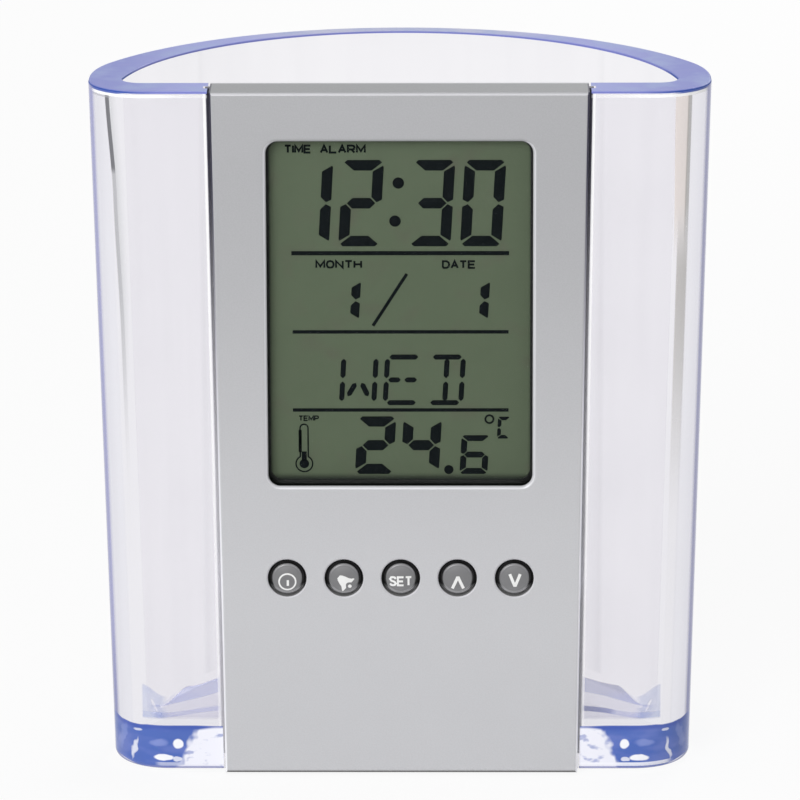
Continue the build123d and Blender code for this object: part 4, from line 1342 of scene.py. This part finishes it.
def lay_on_cap(mesh, button, place):
    """Bends a flat sign onto the crown of its cap."""
    for vertex in mesh.vertices:
        away = math.hypot(vertex.co.x - place[0], vertex.co.z - place[1])
        vertex.co.y += PANEL_FRONT + cap_depth(button, away)


def cap_plastic(button):
    """Satin plastic of the caps, with painted shade down the gap round them and painted light under
    the dome.
    """
    finish = Finish("button_plastic", {"Coat Weight": 0.2, "Coat Roughness": 0.15})
    base = tuple(button.cap)
    fine, cloud = finish.noise(0.5 * MM, 4.0), finish.noise(4 * MM, 2.0)
    face = finish.blend(fine * 0.5 + cloud * 0.5, shaded(base, -0.08), shaded(base, 0.08))
    up, level = finish.turned()[2], finish.place(2)
    # Painted light: lighter where the cap faces up and where it faces down under the dome
    face = finish.blend(up.ramp(0.08, 0.4) * 0.8, face, shaded(base, 0.6))
    face = finish.blend(up.ramp(-0.1, -0.6), face, shaded(base, 1.2))
    # Painted shade down the gap round the cap, lifted by painted light low down
    sunk = finish.place(1).ramp(PANEL_FRONT + 0.3 * MM, PANEL_FRONT + 0.5 * MM)
    ring = finish.blend(level.ramp(*HOLE_LIT), shaded(base, -0.9), shaded(base, 1.6))
    finish.paint(
        base_color=finish.blend(sunk, face, ring),
        metallic=sunk,
        roughness=fine * 0.12 + cloud * 0.08 + 0.24,
    )
    finish.bump(fine, 0.002 * MM)
    return finish.material


class PENCLOCK_OT_buttons(Operator):
    """Builds the five buttons with their printed signs"""

    bl_idname = "penclock.buttons"
    bl_label = "Buttons"

    def execute(self, context):
        button = context.scene.penclock_button
        cap = cap_plastic(button)
        sign = plain_finish("sign_print", tuple(button.sign), 0.45, 0.2 * MM, 0.05)
        for node, body in BUTTON_BODIES.items():
            place = build_button(button, node, body, cap)
            name = node.replace("_button", "_sign")
            outlines, strokes = sign_marks(node)
            outlines = [moved(outline, place) for outline in outlines]
            strokes = [(moved(points, place), width, closed) for points, width, closed in strokes]
            shape = draw(outlines, strokes, -0.02 * MM, 0.03 * MM)
            bmesh.ops.triangulate(shape, faces=shape.faces)
            bmesh.ops.subdivide_edges(shape, edges=shape.edges, cuts=3, use_grid_fill=True)
            mesh = mesh_from(name, shape)
            lay_on_cap(mesh, button, place)
            new_piece(name, mesh, body, [sign])
        return {"FINISHED"}


def metal_finish(name, base, rough, stretch=(1, 1, 1)):
    """Bare metal with fine drawn or rolled marks."""
    finish = Finish(name, {"Metallic": 1.0})
    marks = finish.noise(0.25 * MM, 4.0, stretch)
    cloud = finish.noise(3 * MM, 3.0)
    finish.paint(
        base_color=finish.blend(marks * 0.5 + cloud * 0.5, shaded(base, -0.15), shaded(base, 0.1)),
        roughness=marks * 0.2 + cloud * 0.1 + (rough - 0.12),
    )
    finish.bump(marks, 0.004 * MM)
    return finish.material


class PENCLOCK_OT_back(Operator):
    """Finishes the rear cover, the battery door and the screws"""

    bl_idname = "penclock.back"
    bl_label = "Back of the Clock"

    def execute(self, context):
        cover = tuple(context.scene.penclock_clock.cover)
        plastic = plain_finish("cover_plastic", cover, 0.5, 0.35 * MM, 0.05, 0.02 * MM)
        repaint(plastic, "rear_cover", "battery_door")
        steel = metal_finish("screw_steel", (0.60, 0.60, 0.61), 0.3)
        repaint(steel, "case_screws", "board_screws")
        return {"FINISHED"}


# The parts inside: a finish's maker, what the maker is given from the finish's name on, and the
# nodes that get it
WORKS = (
    (plain_finish, ("board_laminate", (0.03, 0.16, 0.06), 0.35, 0.8 * MM, 0.2), "circuit_board"),
    (plain_finish, ("chip_resin", (0.01, 0.01, 0.012), 0.2, 1 * MM, 0.3, 0.05 * MM), "clock_chip"),
    (metal_finish, ("crystal_can", (0.7, 0.69, 0.66), 0.3, (0.1, 1, 1)), "crystal"),
    (plain_finish, ("ceramic_chip", (0.35, 0.24, 0.14), 0.5, 0.3 * MM, 0.15), "chip_capacitors"),
    (plain_finish, ("bead_resin", (0.02, 0.02, 0.03), 0.25, 0.4 * MM, 0.2), "thermistor"),
    (plain_finish, ("keypad_rubber", (0.45, 0.46, 0.47), 0.7, 0.6 * MM, 0.06), "keypad"),
    (plain_finish, ("carbon_pill", (0.015, 0.015, 0.015), 0.6, 0.2 * MM, 0.3), "contact_pills"),
    (
        plain_finish, ("contact_rubber", (0.45, 0.16, 0.19), 0.6, 0.15 * MM, 0.3),
        "lower_contact_strip", "upper_contact_strip",
    ),
    (metal_finish, ("cell_steel", (0.72, 0.71, 0.69), 0.28), "battery"),
    (
        metal_finish, ("spring_metal", (0.74, 0.70, 0.58), 0.3, (1, 1, 0.1)),
        "negative_contact", "positive_contact",
    ),
    (metal_finish, ("buzzer_brass", (0.78, 0.55, 0.22), 0.3), "buzzer_plate"),
    (plain_finish, ("buzzer_ceramic", (0.72, 0.72, 0.68), 0.35, 0.5 * MM, 0.06), "buzzer_ceramic"),
    (plain_finish, ("wire_cover", (0.45, 0.03, 0.02), 0.4, 0.5 * MM, 0.1), "buzzer_wires"),
)


class PENCLOCK_OT_works(Operator):
    """Finishes the board, the battery, the buzzer and the small parts inside"""

    bl_idname = "penclock.works"
    bl_label = "Inner Works"

    def execute(self, context):
        for make, look, *nodes in WORKS:
            repaint(make(*look), *nodes)
        return {"FINISHED"}


def seen_straight(graph):
    """One where light is seen by the camera or in gloss and clear plastic, nothing elsewhere."""
    path = graph.add("ShaderNodeLightPath")
    rays = ("Is Camera Ray", "Is Glossy Ray", "Is Transmission Ray")
    camera, gloss, clear = (Field(graph, path.outputs[ray]) for ray in rays)
    return (camera + gloss + clear).math("MINIMUM", 1.0)


class PENCLOCK_OT_stage(Operator):
    """Sets the pale floor, the soft light and the camera"""

    bl_idname = "penclock.stage"
    bl_label = "Stage"

    def execute(self, context):
        stage = context.scene.penclock_stage
        context.scene.view_settings.view_transform = "Standard"
        make_floor()
        make_world(stage)
        make_lamp("key_lamp", (-0.40, -0.92, 0.50), 0.6, stage.key)
        make_lamp("fill_lamp", (0.45, 0.85, 0.60), 0.6, stage.fill)
        make_camera(stage)
        return {"FINISHED"}


def make_floor():
    """A wide pale floor that shows nearly white and keeps a trace of the object's shadow."""
    shape = bmesh.new()
    bmesh.ops.create_grid(shape, x_segments=4, y_segments=4, size=3.0)
    floor = in_scene("floor", mesh_from("floor", shape))
    finish = Finish("floor", {"Specular IOR Level": 0.0})
    tone = finish.noise(0.4, 2.0)
    colours = finish.blend(tone, (0.90, 0.90, 0.90), (0.92, 0.92, 0.92))
    finish.paint(base_color=colours, roughness=tone.ramp(0, 1, 0.8, 0.9))
    glow = finish.add("ShaderNodeEmission", None, {"Color": WHITE, "Strength": 1.0})
    finish.show(seen_straight(finish) * 0.9, finish.shader, glow)
    floor.data.materials.append(finish.material)


def make_world(stage):
    """Even light from all round, seen as white."""
    world = bpy.data.worlds.new("studio")
    world.use_nodes = True
    bpy.context.scene.world = world
    graph = Graph(world.node_tree)
    sky = graph.tree.nodes["Background"]
    graph.feed(sky.inputs["Color"], WHITE)
    graph.feed(sky.inputs["Strength"], seen_straight(graph).ramp(0, 1, stage.world, 1.0))


def make_lamp(name, place, size, power):
    """A large soft lamp that looks at the middle of the object."""
    lamp = bpy.data.lights.new(name, "AREA")
    lamp.shape = "DISK"
    lamp.size = size
    lamp.energy = power
    holder = in_scene(name, lamp)
    holder.location = place
    middle = (CAD_BOX[0] + CAD_BOX[1]) / 2
    holder.rotation_euler = (middle - Vector(place)).to_track_quat("-Z", "Y").to_euler()


def make_camera(stage):
    """A camera at the photograph's viewing angle."""
    lens = bpy.data.cameras.new("camera")
    lens.lens = stage.lens
    lens.sensor_width = 36.0
    lens.clip_start, lens.clip_end = 0.05, 20.0
    camera = in_scene("camera", lens)
    level = math.pi / 2
    turn = Matrix.Rotation(stage.yaw, 4, "Z") @ Matrix.Rotation(level - stage.pitch, 4, "X")
    turn = turn @ Matrix.Rotation(stage.roll, 4, "Z")
    camera.matrix_world = Matrix.Translation(stage.camera_place) @ turn
    bpy.context.scene.camera = camera


class PENCLOCK_PT_sidebar(Panel):
    """Lists the parts of the clock in the sidebar"""

    bl_idname = "PENCLOCK_PT_sidebar"
    bl_label = "Pen Holder Clock"
    bl_space_type = "VIEW_3D"
    bl_region_type = "UI"
    bl_category = "Pen Clock"

    def draw(self, context):
        for step in STEPS:
            self.layout.operator(step.bl_idname)


SETTINGS = {
    "penclock_cup": CupSettings,
    "penclock_clock": ClockSettings,
    "penclock_button": ButtonSettings,
    "penclock_stage": StageSettings,
}
STEPS = (
    PENCLOCK_OT_cup,
    PENCLOCK_OT_panel,
    PENCLOCK_OT_display,
    PENCLOCK_OT_buttons,
    PENCLOCK_OT_back,
    PENCLOCK_OT_works,
    PENCLOCK_OT_stage,
)


def register():
    """Registers the settings, the operators and the panel."""
    for name, group in SETTINGS.items():
        bpy.utils.register_class(group)
        setattr(bpy.types.Scene, name, PointerProperty(type=group))
    for step in (*STEPS, PENCLOCK_PT_sidebar):
        bpy.utils.register_class(step)


def unregister():
    """Takes everything that register added away again."""
    for step in (PENCLOCK_PT_sidebar, *reversed(STEPS)):
        bpy.utils.unregister_class(step)
    for name, group in SETTINGS.items():
        delattr(bpy.types.Scene, name)
        bpy.utils.unregister_class(group)


def main():
    """Builds every piece."""
    register()
    for step in STEPS:
        group, action = step.bl_idname.split(".")
        getattr(getattr(bpy.ops, group), action)()


if __name__ == "__main__":
    main()
